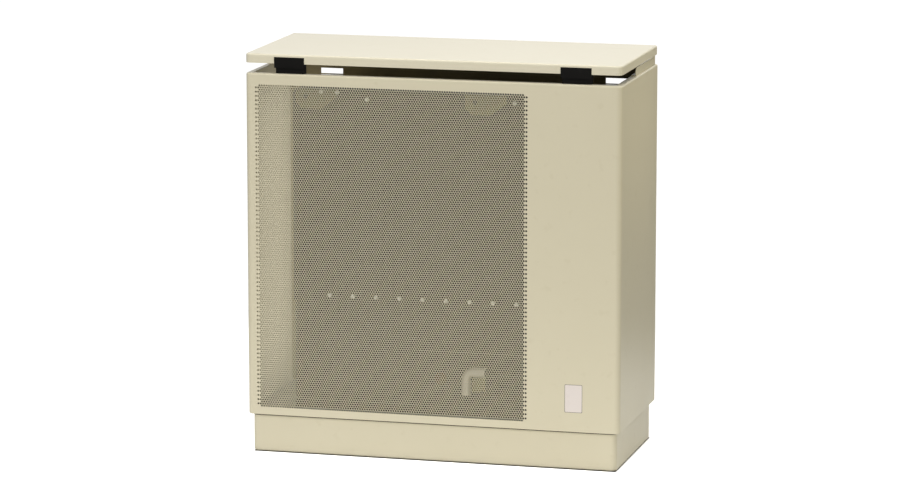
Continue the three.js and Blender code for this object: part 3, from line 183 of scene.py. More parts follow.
def surface_group(name, masks):
    """A node group from masks(tree, drift), which gives its share, gloss and height sockets: its
    Colour runs to Shade by the share, and its Roughness from Smooth to Rough by the gloss."""
    colour, value = "NodeSocketColor", "NodeSocketFloat"
    tree = bpy.data.node_groups.new(name, "ShaderNodeTree")
    for label, kind in (("Colour", colour), ("Shade", colour), ("Drift", value), ("Smooth", value),
                        ("Rough", value)):
        tree.interface.new_socket(label, in_out="INPUT", socket_type=kind)
    for label, kind in (("Colour", colour), ("Roughness", value), ("Height", value)):
        tree.interface.new_socket(label, in_out="OUTPUT", socket_type=kind)
    inside = add_node(tree, "NodeGroupInput", {})
    share, gloss, height = masks(tree, inside.outputs["Drift"])
    blend = add_node(tree, "ShaderNodeMix", {
        0: share, MIX_FIRST: inside.outputs["Colour"], MIX_SECOND: inside.outputs["Shade"]}, data_type="RGBA")
    sheen = add_node(tree, "ShaderNodeMapRange", {
        "Value": gloss, "To Min": inside.outputs["Smooth"], "To Max": inside.outputs["Rough"]})
    add_node(tree, "NodeGroupOutput", {
        "Colour": blend.outputs[MIX_RESULT], "Roughness": sheen.outputs["Result"], "Height": height})
    return tree


def coat_masks(tree, drift):
    """Share: a broad noise times drift, or small scuffs where they are stronger. Gloss: the broad
    noise. Height: the fine waviness of a sprayed coat."""
    broad = noise_in(tree, 7.0, 3.0)
    scuffs = add_node(tree, "ShaderNodeMapRange", {
        "Value": noise_in(tree, 60.0, 6.0), "From Min": 0.57, "From Max": 0.72})
    drifted = add_node(tree, "ShaderNodeMath", {0: broad, 1: drift}, operation="MULTIPLY")
    share = add_node(tree, "ShaderNodeMath", {0: drifted.outputs[0], 1: scuffs.outputs["Result"]},
                     operation="MAXIMUM")
    return share.outputs[0], broad, noise_in(tree, 520.0)


coating = surface_group("Coating", coat_masks)


def coated(name, colour, shade, drift, smooth, rough, bump, metallic=0.0, group=coating, specular=0.5):
    """A material from a surface group: its colour, roughness and height feed one Principled shader."""
    material = bpy.data.materials.new(name)
    material.use_nodes = True
    tree = material.node_tree
    surface = add_node(tree, "ShaderNodeGroup", {
        "Colour": (*colour, 1.0), "Shade": (*shade, 1.0), "Drift": drift, "Smooth": smooth, "Rough": rough,
    }, node_tree=group)
    relief_depth = 0.0004
    relief = add_node(tree, "ShaderNodeBump", {
        "Height": surface.outputs["Height"], "Strength": bump, "Distance": relief_depth})
    feed(tree, tree.nodes["Principled BSDF"], {
        "Base Color": surface.outputs["Colour"], "Roughness": surface.outputs["Roughness"],
        "Metallic": metallic, "Specular IOR Level": specular, "Normal": relief.outputs["Normal"]})
    return material


cream_enamel = coated("cream_enamel", (0.650, 0.605, 0.468), (0.622, 0.575, 0.437), 0.5, 0.26, 0.34, 0.05,
                      specular=0.38)
SHARP = 35.0  # degrees: an edge that turns further stays crisp
MILLIMETRE = 0.001


def finished(name, points, polygons, finish, body, stands_for=(), closed=True, sharp=SHARP):
    """A piece from points in millimetres and arrays of corner numbers, one array for each number of
    corners. A closed skin is welded and turned outwards; edges over `sharp` degrees stay crisp."""
    mesh = bpy.data.meshes.new(name)
    corners = np.concatenate([np.asarray(faces).ravel() for faces in polygons])
    sizes = np.concatenate([np.full(len(faces), np.asarray(faces).shape[1]) for faces in polygons])
    mesh.vertices.add(len(points))
    mesh.vertices.foreach_set("co", (np.asarray(points) * MILLIMETRE).astype(np.float32).ravel())
    mesh.loops.add(len(corners))
    mesh.loops.foreach_set("vertex_index", corners.astype(np.int32))
    mesh.polygons.add(len(sizes))
    mesh.polygons.foreach_set("loop_start", (np.cumsum(sizes) - sizes).astype(np.int32))
    mesh.update(calc_edges=True)
    mesh.validate()
    if closed:
        skin = bmesh.new()
        skin.from_mesh(mesh)
        bmesh.ops.remove_doubles(skin, verts=skin.verts, dist=0.002 * MILLIMETRE)
        bmesh.ops.recalc_face_normals(skin, faces=skin.faces)
        skin.to_mesh(mesh)
        skin.free()
    mesh.polygons.foreach_set("use_smooth", np.ones(len(mesh.polygons), bool))
    mesh.set_sharp_from_angle(angle=math.radians(sharp))
    mesh.materials.append(finish)
    obj = bpy.data.objects.new(name, mesh)
    scene.collection.objects.link(obj)
    if closed:
        even = obj.modifiers.new("even_shading", "WEIGHTED_NORMAL")
        even.keep_sharp = True
    if stands_for:
        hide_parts(*stands_for)
    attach(obj, body)


def sheet_skin(outer, inner, keep, round_about=False, lidded=False):
    """A sheet's closed skin from two grids of points, [station, row], for its two faces. Cells that
    `keep` leaves out are holes; every free edge gets a strip between the faces. round_about joins
    the last station to the first, and lidded closes the last row with one flat face on each side."""
    stations, rows = outer.shape[:2]
    spans = stations if round_about else stations - 1
    number = np.arange(stations * rows).reshape(stations, rows)
    after = np.roll(number, -1, axis=0)[:spans]
    here = number[:spans]
    quads = np.stack([here[:, :-1], after[:, :-1], after[:, 1:], here[:, 1:]], axis=-1)[keep]
    other = stations * rows
    edges = np.concatenate([quads[:, [0, 1]], quads[:, [1, 2]], quads[:, [2, 3]], quads[:, [3, 0]]])
    if lidded:
        rim = number[:, -1]
        links = np.stack([np.roll(rim, -1), rim], axis=-1)
        edges = np.concatenate([edges, links])
    key = edges.min(1).astype(np.int64) * (2 * other) + edges.max(1)
    _, first, times = np.unique(key, return_index=True, return_counts=True)
    free = edges[first[times == 1]]
    strips = np.stack([free[:, 1], free[:, 0], free[:, 0] + other, free[:, 1] + other], axis=-1)
    faces = [quads, quads[:, ::-1] + other, strips]
    if lidded:
        faces += [rim[None, ::-1], rim[None, :] + other]
    return np.concatenate([outer.reshape(-1, 3), inner.reshape(-1, 3)]), faces


CORNER_STEPS = 8


def rounded_loop(area, corner, inset, level, steps=CORNER_STEPS):
    """Stations round a rectangle with round corners, for arrays of insets and levels: at each
    corner the point is the corner's centre plus the radius left by the inset, times (cos, sin)."""
    x0, y0, x1, y1 = area
    radius = np.maximum(corner - inset, 0.3)
    reach = inset + radius
    quarter = np.linspace(0.0, np.pi / 2, steps + 1)
    rings = []
    for k, (cx, cy) in enumerate(((x1 - reach, y1 - reach), (x0 + reach, y1 - reach),
                                  (x0 + reach, y0 + reach), (x1 - reach, y0 + reach))):
        angle = (quarter + k * np.pi / 2)[:, None]
        rings.append(np.stack([cx + radius * np.cos(angle), cy + radius * np.sin(angle),
                               np.broadcast_to(level, (steps + 1, len(level)))], axis=-1))
    return np.concatenate(rings)


plinth_area, plinth_corner = (-303.5, -128.5, 303.5, 130.5), 9.0
# the folds as (inset, level): along the foot, up the wall past the pipe gap's top, and in again
outer_fold = np.array([[12.0, 0.0], [2.6, 0.0], [0.76, 0.76], [0.0, 2.6], [0.0, 54.0], [0.0, 67.6],
                       [0.35, 68.45], [1.2, 68.8], [14.0, 68.8]])
inner_fold = np.array([[12.0, 1.5], [2.8, 1.5], [1.9, 1.9], [1.5, 2.8], [1.5, 54.0], [1.5, 66.8],
                       [1.6, 67.2], [2.0, 67.3], [14.0, 67.3]])


def with_gaps(loop, xs):
    """Adds stations at the given X on the loop's back run, between its first two corners."""
    start, stop = loop[CORNER_STEPS], loop[CORNER_STEPS + 1]
    extra = []
    for x in sorted(xs, reverse=True):
        share = (start[:, 0] - x) / (start[:, 0] - stop[:, 0])
        extra.append(start + share[:, None] * (stop - start))
    return np.concatenate([loop[:CORNER_STEPS + 1], np.array(extra), loop[CORNER_STEPS + 1:]])


pipe_gap = (226.0, 270.0)
rows_in_gap = 4  # the folds' rows from the foot to the gap's top
outer, inner = (with_gaps(rounded_loop(plinth_area, plinth_corner, fold[:, 0], fold[:, 1]), pipe_gap)
                for fold in (outer_fold, inner_fold))
keep = np.ones((len(outer), len(outer_fold) - 1), bool)
keep[CORNER_STEPS + 1, :rows_in_gap] = False
points, faces = sheet_skin(outer, inner, keep, round_about=True)
finished("plinth_frame", points, faces, cream_enamel, "cabinet", ["plinth"])

# A dark strip round the plinth under the casing's foot is painted shade: it darkens the gap there like the
# shadow line it stands for.
foot_shadow_paint = coated("foot_shadow_paint", (0.055, 0.050, 0.036), (0.075, 0.068, 0.050), 0.8, 0.85, 0.95, 0.5)
shadow_line_section = np.array([[0.3, 59.9], [-0.5, 59.9], [-0.5, 62.0], [0.3, 62.0]])
strip = rounded_loop(plinth_area, plinth_corner, shadow_line_section[:, 0], shadow_line_section[:, 1])
number = np.arange(len(strip) * len(shadow_line_section)).reshape(-1, len(shadow_line_section))
after = np.roll(number, -1, axis=0)
faces = np.stack([number, after, np.roll(after, -1, axis=1), np.roll(number, -1, axis=1)],
                 axis=-1).reshape(-1, 4)
finished("foot_shadow_strip", strip.reshape(-1, 3), [faces], foot_shadow_paint, "cabinet")


# ---- Base tray, partition, brackets and duct: bare galvanised sheet ----
# Sheet from a hot zinc bath, cut and folded without paint: its zinc has frozen in a faint pattern
# of flat crystals, each a little lighter or darker than the next.
def spangle_masks(tree, drift):
    """Flat crystals from a Voronoi cell colour. Share: a crystal's red times drift. Gloss: its
    green. Height: a fine rolling grain."""
    place = add_node(tree, "ShaderNodeTexCoord", {})
    crystals = add_node(tree, "ShaderNodeTexVoronoi", {
        "Vector": place.outputs["Object"], "Scale": 110.0, "Randomness": 1.0})
    tone = add_node(tree, "ShaderNodeSeparateColor", {"Color": crystals.outputs["Color"]})
    share = add_node(tree, "ShaderNodeMath", {0: tone.outputs["Red"], 1: drift}, operation="MULTIPLY")
    return share.outputs[0], tone.outputs["Green"], noise_in(tree, 900.0, 2.0, (1.0, 1.0, 0.12))


spangle = surface_group("Spangle", spangle_masks)
zinc_sheet = coated("zinc_sheet", (0.44, 0.43, 0.39), (0.31, 0.31, 0.28), 0.8, 0.34, 0.50, 0.04, 0.8, spangle)
yellow_zinc = coated("yellow_zinc", (0.21, 0.185, 0.09), (0.15, 0.14, 0.08), 0.8, 0.34, 0.46, 0.05, 0.7)


def dress(finish, *names):
    """Gives CAD nodes a finish in place of the plain one."""
    for name in names:
        cabinet[name].data.materials.clear()
        cabinet[name].data.materials.append(finish)


dress(zinc_sheet, "base_tray", "partition", "valve_bracket", "air_duct", "chamber_foot_left",
      "chamber_foot_right", "exchanger_stay_left", "exchanger_stay_right", "lid_lug_left",
      "lid_lug_right", "burner_saddle_left", "burner_saddle_right")
dress(yellow_zinc, "lifting_lug_left", "lifting_lug_right")

# ---- Back plate, combustion chamber, heat exchanger and baffle ----
# Sheet steel in heat-resistant enamel, dull and slightly uneven from the stove: black-brown on the
# hot parts, and a paler brown on the back plate.
stove_black = coated("stove_black", (0.030, 0.026, 0.019), (0.052, 0.045, 0.034), 0.7, 0.50, 0.68, 0.10)
dress(stove_black, "combustion_chamber", "heat_exchanger", "flue_baffle", "burner_door", "sight_ring")
stove_brown = coated("stove_brown", (0.34, 0.287, 0.17), (0.40, 0.34, 0.21), 0.7, 0.50, 0.66, 0.10)
dress(stove_brown, "back_plate")

# A dark plate under the chamber's front is painted shade: it hides the feet and darkens the gap there as
# shade would.
# Small zinc-plated screws hold the exchanger's seam and the chamber's shoulders: a row of nine low down and
# four at the top.
shade_apron = (-239.0, 190.0, 70.3, 84.0, -101.2, -100.0)


def plate(area):
    """The eight corners and six sides of a flat plate, from (x0, x1, z0, z1, y0, y1)."""
    x0, x1, z0, z1, y0, y1 = area
    plan = ((x0, y0), (x1, y0), (x1, y1), (x0, y1))
    corners = np.array([[x, y, z] for z in (z0, z1) for x, y in plan])
    return corners, [np.array([[3, 2, 1, 0], [4, 5, 6, 7], [0, 1, 5, 4], [1, 2, 6, 5], [2, 3, 7, 6],
                               [3, 0, 4, 7]])]


points, faces = plate(shade_apron)
finished("chamber_shade_apron", points, faces, stove_black, "cabinet")
# The heads' zinc is painted near-white: partly the pale zinc plate, partly painted glints.
zinc_and_glint = coated("zinc_and_glint", (0.93, 0.92, 0.87), (0.84, 0.83, 0.78), 0.6, 0.22, 0.34, 0.03, 0.15)
screw_profile = np.array([[0.0, 0.0], [3.6, 0.0], [3.6, 0.7], [3.1, 1.7], [2.1, 2.4], [1.0, 2.7],
                          [0.0, 2.75]])


def ring_quads(rings, around):
    """The corner numbers of closed rings of points, [ring, place], and the quads between them."""
    number = np.arange(rings * around).reshape(rings, around)
    after = np.roll(number, -1, axis=1)
    return number, np.stack([number[:-1], after[:-1], after[1:], number[1:]], axis=-1).reshape(-1, 4)


def screws(name, places, face):
    """Pan heads standing forward of a face: a profile of (radius, height) turned about each place."""
    rows, steps = len(screw_profile), 16
    angle = np.linspace(0, 2 * np.pi, steps, endpoint=False)
    radius, rise = screw_profile[:, 0, None], screw_profile[:, 1, None]
    head = np.stack([radius * np.cos(angle), np.broadcast_to(-rise, (rows, steps)), radius * np.sin(angle)],
                    axis=-1)
    centre = np.array([[x, face, z] for x, z in places])
    points = head[None] + centre[:, None, None, :]
    start = rows * steps * np.arange(len(places))[:, None, None]
    faces = (ring_quads(rows, steps)[1] + start).reshape(-1, 4)
    finished(name, points.reshape(-1, 3), [faces], zinc_and_glint, "cabinet")


seam_start, seam_pitch, seam_level = -179.0, 39.0, 259.0
screws("seam_screws", [(seam_start + seam_pitch * k, seam_level) for k in range(9)], -104.0)
screws("shoulder_screws", [(-191.0, 592.3), (-164.0, 592.3), (-115.0, 582.0), (130.0, 585.0)], -105.6)

# ---- Burner, pipes, valve and small fittings ----
# Drawn steel tube, machined brass, copper tube, die-cast aluminium, pressed gaskets, glazed
# ceramic and red silicone.
drawn_steel = coated("drawn_steel", (0.52, 0.52, 0.51), (0.40, 0.40, 0.39), 0.6, 0.22, 0.36, 0.03, 1.0)
turned_brass = coated("turned_brass", (0.72, 0.52, 0.22), (0.58, 0.40, 0.16), 0.7, 0.20, 0.34, 0.03, 1.0)
drawn_copper = coated("drawn_copper", (0.72, 0.36, 0.22), (0.52, 0.25, 0.15), 0.7, 0.24, 0.38, 0.03, 1.0)
cast_alloy = coated("cast_alloy", (0.56, 0.56, 0.55), (0.47, 0.47, 0.46), 0.7, 0.40, 0.55, 0.25, 1.0)
pressed_fibre = coated("pressed_fibre", (0.70, 0.66, 0.58), (0.58, 0.54, 0.46), 0.9, 0.90, 0.98, 0.6)
glazed_ceramic = coated("glazed_ceramic", (0.15, 0.115, 0.08), (0.11, 0.085, 0.06), 0.5, 0.20, 0.30, 0.02)
red_silicone = coated("red_silicone", (0.33, 0.035, 0.02), (0.24, 0.025, 0.015), 0.6, 0.48, 0.62, 0.05)
dress(drawn_steel, "main_burner")
dress(turned_brass, "control_spindle", "spindle_sleeve")
dull_copper = coated("dull_copper", (0.075, 0.055, 0.036), (0.05, 0.038, 0.026), 0.8, 0.42, 0.58, 0.03, 0.5)
dress(drawn_copper, "room_sensor")
dress(dull_copper, "pilot_tube", "thermocouple")
black_rubber = coated("black_rubber", (0.016, 0.015, 0.014), (0.026, 0.024, 0.022), 0.7, 0.55, 0.70, 0.08)
dress(black_rubber, "ignition_lead")
pale_plate = coated("pale_plate", (0.70, 0.66, 0.56), (0.60, 0.56, 0.47), 0.7, 0.28, 0.40, 0.04, 0.5)
dress(pale_plate, "injector_holder")
# The feed pipe is black enamelled tube as far as its pale plated elbow over the injector. Each of
# the elbow's rings stands square to the path: its axes are the path's normal in XZ and the Y axis.
dress(stove_black, "feed_pipe", "pilot_burner")
bend_radius, elbow_radius, elbow_collar, elbow_y = 12.0, 7.2, 1.1, -114.0
bend_x, bend_z = 64.5, 134.5
turn = np.linspace(0.0, np.pi / 2, 13)
elbow_path = np.concatenate([
    [[84.0, 146.5]],
    np.stack([bend_x - bend_radius * np.sin(turn), bend_z + bend_radius * np.cos(turn)], axis=-1),
    [[52.5, 129.6]]])
elbow_way = np.gradient(elbow_path, axis=0)
elbow_way /= np.linalg.norm(elbow_way, axis=1)[:, None]
swell = np.full(len(elbow_path), elbow_radius)
swell[[0, 1, -1]] += elbow_collar
spin = np.linspace(0, 2 * np.pi, 20, endpoint=False)
across = np.stack([-elbow_way[:, 1], np.zeros(len(elbow_way)), elbow_way[:, 0]], axis=-1)
centre_line = np.stack([elbow_path[:, 0], np.full(len(elbow_path), elbow_y), elbow_path[:, 1]], axis=-1)
rings = centre_line[:, None] + swell[:, None, None] * (
    np.cos(spin)[None, :, None] * across[:, None] + np.sin(spin)[None, :, None] * np.array([0.0, 1.0, 0.0]))
number, sides = ring_quads(len(rings), len(spin))
finished("injector_elbow", rings.reshape(-1, 3), [sides, number[:1, ::-1], number[-1:]], pale_plate,
         "cabinet")
dress(pressed_fibre, "door_gasket", "duct_gasket")
# a small olive plate on the burner door carries the pilot beside the elbow
points, faces = plate((60.5, 82.0, 112.0, 141.0, -107.2, -105.7))
finished("pilot_bracket", points, faces, yellow_zinc, "cabinet")
dress(glazed_ceramic, "ignition_electrode")
mica_sheet = coated("mica_sheet", (0.10, 0.065, 0.025), (0.06, 0.04, 0.015), 0.8, 0.10, 0.20, 0.02)
dress(mica_sheet, "sight_glass")

# ---- Casing ----
# Front and sides of the cabinet, folded from one sheet of steel, 1.2 mm: rolled upright corners,
# tight folds along the top and the foot, and a return inwards along both. Stoved cream enamel.
sheet = 1.2
front_plane = -135.0
skin_back = 0.1  # the painted face stands this far behind the front plane, so the label is flush
casing_front, casing_wall, casing_side = front_plane + skin_back, 135.0, 310.0
casing_foot, casing_top = 62.0, 623.0
foot_return, top_return = 6.0, 11.0
corner_radius = 9.0
window = (-297.0, 161.0, 71.3, 608.5)  # x0, x1, z0, z1 of the perforated field's sheet
bend = np.linspace(0.0, np.pi / 2, 7)
fold_out, foot_fold = 3.0, 1.5  # outer radii of the folds along the top and along the foot
fold_in = fold_out - sheet


def casing_section(offset, foot_radius, radius):
    """The folded section of one face, as (inset, level): in along the foot, up the front, and in
    along the top, with quarter bends of the given radii between."""
    foot = casing_foot + offset
    top = casing_top - offset
    down = np.stack([offset + foot_radius * (1 - np.sin(bend)), foot + foot_radius * (1 - np.cos(bend))],
                    axis=-1)
    up = np.stack([offset + radius * (1 - np.cos(bend)), top - radius * (1 - np.sin(bend))], axis=-1)
    rows = np.array([[offset, window[2]], [offset, window[3]]])
    return np.concatenate([[[foot_return, foot]], down, rows, up, [[top_return, top]]])


FRONT_STEPS = 10
first_on_front = FRONT_STEPS + 2  # the wall's station and the corner's come before it


def round_front(section, xs, depth_front, depth_wall):
    """Stations of a section carried round the cabinet's front: from the wall along the right
    side, round both corners and back along the left side, with extra stations on the front."""
    inset, level = section[:, 0], section[:, 1]
    radius = np.maximum(corner_radius - inset, 0.3)
    cx = casing_side - inset - radius
    cy = depth_front + inset + radius
    angle = np.linspace(0.0, np.pi / 2, FRONT_STEPS + 1)[:, None]
    height = np.broadcast_to(level, (FRONT_STEPS + 1, len(level)))
    right_corner = np.stack([cx + radius * np.cos(angle), cy - radius * np.sin(angle), height], axis=-1)
    left_corner = right_corner[::-1] * np.array([-1.0, 1.0, 1.0])
    right_wall = np.stack([casing_side - inset, np.full_like(inset, depth_wall), level], axis=-1)[None]
    left_wall = right_wall * np.array([-1.0, 1.0, 1.0])
    front_run = np.stack([np.stack([np.full_like(inset, x), depth_front + inset, level], axis=-1)
                          for x in sorted(xs, reverse=True)])
    return np.concatenate([right_wall, right_corner, front_run, left_corner, left_wall])


outer = round_front(casing_section(0.0, foot_fold, fold_out), window[:2], casing_front, casing_wall)
inner = round_front(casing_section(sheet, foot_fold - sheet, fold_in), window[:2], casing_front, casing_wall)
window_row = len(bend) + 1
keep = np.ones((len(outer) - 1, outer.shape[1] - 1), bool)
keep[first_on_front, window_row] = False  # the window that the perforated field fills
points, faces = sheet_skin(outer, inner, keep)
finished("casing_shell", points, faces, cream_enamel, "cabinet", ["front_casing"])

# ---- Perforated field ----
# The front's air inlet: round holes at 4 mm pitch in staggered rows, punched before the sheet was
# folded and enamelled, so each breaks out a little wider at the back. Every second row reaches
# one and a half pitches further out.
hole_pitch = 4.0
row_pitch = hole_pitch * math.sin(math.pi / 3)
hole_radius, breakout_radius = 1.78, 1.86
field_centre = (-68.0, 339.9)
rows_of_holes = 153
short_row, extra_holes = 110, 3


def punched_cells(centres, front):
    """One brick of sheet round each hole: the front face between the brick's six points and the
    hole's eight, and the hole's wall, which runs back by the sheet's thickness."""
    angle = np.radians(np.array([22.5 + 45.0 * k for k in range(8)]))
    brick = np.array([[2, 1], [0, 1], [-2, 1], [-2, -1], [0, -1], [2, -1]]) * [hole_pitch / 4, row_pitch / 2]
    ring = np.stack([np.cos(angle), np.sin(angle)], axis=-1)
    plan = np.concatenate([brick, hole_radius * ring, breakout_radius * ring])
    depth = np.repeat([0.0, sheet], [len(brick) + len(ring), len(ring)])
    points = np.empty((len(centres), len(plan), 3))
    points[:, :, 0] = centres[:, None, 0] + plan[None, :, 0]
    points[:, :, 1] = front + depth
    points[:, :, 2] = centres[:, None, 1] + plan[None, :, 1]
    triangles = np.array([[6, 0, 7], [0, 1, 7], [7, 1, 8], [1, 2, 8], [8, 2, 9],
                          [10, 3, 11], [3, 4, 11], [11, 4, 12], [4, 5, 12], [12, 5, 13]])
    sides = np.array([[5, 0, 6, 13], [2, 3, 10, 9]])
    walls = np.array([[6 + k, 6 + (k + 1) % 8, 14 + (k + 1) % 8, 14 + k] for k in range(8)])
    start = (len(plan) * np.arange(len(centres)))[:, None, None]
    return (points.reshape(-1, 3), (triangles[None] + start).reshape(-1, 3),
            (np.concatenate([sides, walls])[None] + start).reshape(-1, 4))


row = np.arange(rows_of_holes)
row_level = field_centre[1] + (row - (rows_of_holes - 1) / 2) * row_pitch
row_count = np.where(row % 2, short_row + extra_holes, short_row)
for part, span in zip("abc", np.array_split(row, 3)):
    centres = np.concatenate([
        np.stack([field_centre[0] + (np.arange(n) - (n - 1) / 2) * hole_pitch, np.full(n, z)], axis=-1)
        for n, z in zip(row_count[span], row_level[span])])
    points, triangles, quads = punched_cells(centres, casing_front)
    # plain sheet from the ends of the rows to the window's sides, and above and below the field
    reach = row_count[span] * hole_pitch / 2
    low, high = row_level[span] - row_pitch / 2, row_level[span] + row_pitch / 2
    ends = [(window[0] + 0 * reach, field_centre[0] - reach, low, high),
            (field_centre[0] + reach, window[1] + 0 * reach, low, high)]
    if part == "a":
        ends.append(tuple(np.array([v]) for v in (window[0], window[1], window[2], low[0])))
    if part == "c":
        ends.append(tuple(np.array([v]) for v in (window[0], window[1], high[-1], window[3])))
    x0, x1, z0, z1 = (np.concatenate([end[k] for end in ends]) for k in range(4))
    plain = np.stack([np.stack([x0, z0], -1), np.stack([x1, z0], -1), np.stack([x1, z1], -1),
                      np.stack([x0, z1], -1)], axis=1)
    plain_points = np.stack([plain[..., 0], np.full(plain.shape[:2], casing_front), plain[..., 1]], axis=-1)
    plain_faces = np.arange(plain_points.shape[0] * 4).reshape(-1, 4) + len(points)
    finished(f"perforated_field_{part}", np.concatenate([points, plain_points.reshape(-1, 3)]),
             [triangles, quads, plain_faces], cream_enamel, "cabinet", ["front_grille"],
             closed=False, sharp=30.0)

# ---- Label ----
# A small bare plate low on the plain side of the front: white film on the enamel, with a dark line
# printed round it. Its face is the foremost plane of the cabinet.
white_film = coated("white_film", (0.74, 0.68, 0.66), (0.70, 0.64, 0.62), 0.3, 0.20, 0.26, 0.01)
dark_border = coated("dark_border", (0.16, 0.13, 0.12), (0.20, 0.17, 0.16), 0.4, 0.24, 0.30, 0.01)
label_corner, label_steps = 1.5, 4
for name, area, front, finish in (
        ("label_border", (220.0, 94.0, 249.0, 139.5), front_plane + 0.04, dark_border),
        ("label_plate", (220.7, 94.7, 248.3, 138.8), front_plane, white_film)):
    face = rounded_loop(area, label_corner, np.zeros(1), np.zeros(1), label_steps)[:, 0]
    flat = np.stack([face[:, 0], np.full(len(face), front), face[:, 1]], axis=-1)
    back = flat * [1.0, 0.0, 1.0] + [0.0, casing_front + 0.02, 0.0]
    count = len(face)
    ring = np.arange(count)
    rim = np.stack([ring, np.roll(ring, -1), np.roll(ring, -1) + count, ring + count], axis=-1)
    finished(name, np.concatenate([flat, back]), [ring[None], ring[None, ::-1] + count, rim],
             finish, "cabinet")

# ---- Front rests and lid shoes ----
# Black nylon mouldings: the rest is hooked over the casing's top return, the shoe is pressed
# into the lid's skirt and stands on it.
moulded_black = coated("moulded_black", (0.0045, 0.0042, 0.004), (0.008, 0.0075, 0.007), 0.6, 0.40,
                       0.52, 0.12, specular=0.14)


def softened(node, name, width, finish, body):
    """A welded copy of a CAD node with its flat faces joined and its edges rounded by `width`."""
    mesh = cabinet[node].data.copy()
    skin = bmesh.new()
    skin.from_mesh(mesh)
    bmesh.ops.remove_doubles(skin, verts=skin.verts, dist=0.001 * MILLIMETRE)
    bmesh.ops.dissolve_limit(skin, angle_limit=math.radians(0.5), verts=skin.verts, edges=skin.edges)
    skin.to_mesh(mesh)
    skin.free()
    mesh.polygons.foreach_set("use_smooth", np.ones(len(mesh.polygons), bool))
    mesh.set_sharp_from_angle(angle=math.radians(SHARP))
    mesh.materials.clear()
    mesh.materials.append(finish)
    obj = bpy.data.objects.new(name, mesh)
    scene.collection.objects.link(obj)
    edge = obj.modifiers.new("edge", "BEVEL")
    edge.width = width * MILLIMETRE
    edge.segments = 2
    edge.limit_method = "ANGLE"
    edge.angle_limit = math.radians(SHARP)
    even = obj.modifiers.new("even_shading", "WEIGHTED_NORMAL")
    even.keep_sharp = True
    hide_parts(node)
    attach(obj, body)


for side in ("left", "right"):
    softened(f"front_rest_{side}", f"rest_moulding_{side}", 0.5, moulded_black, "cabinet")
    softened(f"lid_shoe_{side}", f"shoe_moulding_{side}", 0.5, moulded_black, "lid")
dress(moulded_black, "igniter_body", "sensor_clip")

# ---- Turned and cast fittings ----
# Tubes, unions, pins and castings, with the small chamfers and radii that the lathe and the mould
# leave on them.
for node, name, width, finish, body, slot in (
        ("flue_pipe", "flue_tube", 0.4, drawn_steel, "cabinet", "steel_tube"),
        ("air_collar", "air_collar_ring", 0.3, zinc_sheet, "cabinet", "galvanised"),
        ("supply_pipe", "supply_tube", 0.4, drawn_steel, "cabinet", "steel_tube"),
        ("riser_pipe", "riser_tube", 0.4, drawn_steel, "cabinet", "steel_tube"),
        ("inlet_union", "inlet_nut", 0.6, turned_brass, "cabinet", "brass"),
        ("gas_tap", "tap_barrel", 0.8, turned_brass, "cabinet", "brass"),
        ("hinge_pin_left", "lid_pin_left", 0.5, drawn_steel, "cabinet", "steel_tube"),
        ("hinge_pin_right", "lid_pin_right", 0.5, drawn_steel, "cabinet", "steel_tube"),
        ("gas_valve", "valve_casting", 1.6, cast_alloy, "cabinet", "cast_aluminium"),
        ("igniter_button", "igniter_cap", 0.8, red_silicone, "igniter", "red_rubber"),
        ("tap_lever", "tap_handle", 1.0, red_silicone, "tap", "red_rubber")):
    softened(node, name, width, finish, body)

# ---- Control knob ----
# A ribbed black nylon knob pressed on the valve's spindle, with a pale index line moulded in. Its
# side is given as rows of radius, level and share of the ribs' depth.
knob_x, knob_y = 248.0, -50.0
rib_count, rib_depth = 30, 0.9
knob_side = np.array([[20.6, 579.2, 0.0], [21.6, 579.9, 0.0], [22.0, 581.2, 0.4], [22.0, 583.0, 1.0],
                      [20.9, 596.0, 1.0], [20.6, 598.0, 0.5], [20.0, 599.6, 0.0], [18.6, 600.8, 0.0],
                      [16.5, 601.2, 0.0], [14.5, 600.6, 0.0], [0.01, 600.4, 0.0]])
around = np.linspace(0, 2 * np.pi, rib_count * 8, endpoint=False)
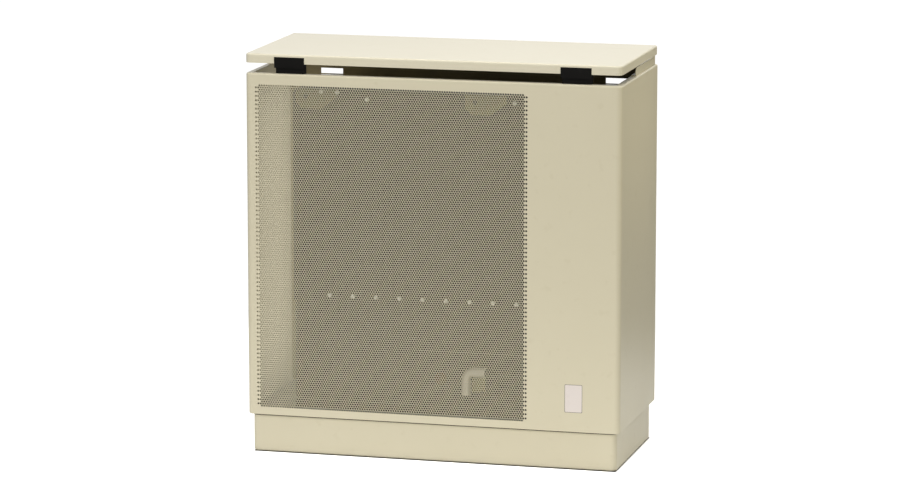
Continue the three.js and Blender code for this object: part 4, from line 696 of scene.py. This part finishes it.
# each row is a circle whose radius dips between the ribs by the row's own share of rib_depth
reach = knob_side[:, 0, None] - rib_depth * knob_side[:, 2, None] * (0.5 - 0.5 * np.cos(rib_count * around))
points = np.stack([knob_x + reach * np.cos(around), knob_y + reach * np.sin(around),
                   np.broadcast_to(knob_side[:, 1, None], reach.shape)], axis=-1)
number, faces = ring_quads(*reach.shape)
finished("knob_moulding", points.reshape(-1, 3), [faces, number[:1, ::-1]], moulded_black, "knob",
         ["control_knob"])
index_white = coated("index_white", (0.78, 0.77, 0.74), (0.70, 0.69, 0.66), 0.4, 0.40, 0.50, 0.02)
points, faces = plate((knob_x - 0.8, knob_x + 0.8, 600.3, 600.75, knob_y - 13.5, knob_y - 2.0))
finished("knob_index", points, faces, index_white, "knob")

# ---- Lid ----
# A shallow tray of the same sheet and enamel, folded down at the front and sides and open at the
# back, with its skirt notched for the two shoes.
lid_foot, lid_top, lid_wall = 639.5, 654.5, 130.0
notch_top = 650.0
notches = (-261.3, -210.7, 210.7, 261.3)


def lid_section(offset, radius):
    """The lid's section as (inset, level): up its skirt and over a quarter bend to the flat top."""
    top = lid_top - offset
    over = np.stack([offset + radius * (1 - np.cos(bend)), top - radius * (1 - np.sin(bend))], axis=-1)
    return np.concatenate([[[offset, lid_foot], [offset, notch_top]], over])


outer = round_front(lid_section(0.0, fold_out), notches, front_plane, lid_wall)
inner = round_front(lid_section(sheet, fold_in), notches, front_plane, lid_wall)
keep = np.ones((len(outer) - 1, outer.shape[1] - 1), bool)
keep[[first_on_front, first_on_front + 2], 0] = False  # the skirt under the two notches
points, faces = sheet_skin(outer, inner, keep, lidded=True)
# The lid's enamel is the casing's cream painted a little lighter: painted light, for the light that falls on
# the lid.
lit_lid_enamel = coated("lit_lid_enamel", (0.690, 0.648, 0.520), (0.662, 0.618, 0.488), 0.5, 0.26, 0.34, 0.05,
                    specular=0.38)
finished("lid_tray", points, faces, lit_lid_enamel, "lid", ["lid"])

# ---- Hinge brackets and control deck ----
# Folded from the same enamelled sheet: the upstands that carry the lid's pins at the back, and the
# deck that the knob and the igniter stand in.
for side in ("left", "right"):
    softened(f"hinge_bracket_{side}", f"lid_upstand_{side}", 0.3, cream_enamel, "cabinet")
softened("control_deck", "deck_plate", 0.3, cream_enamel, "cabinet")
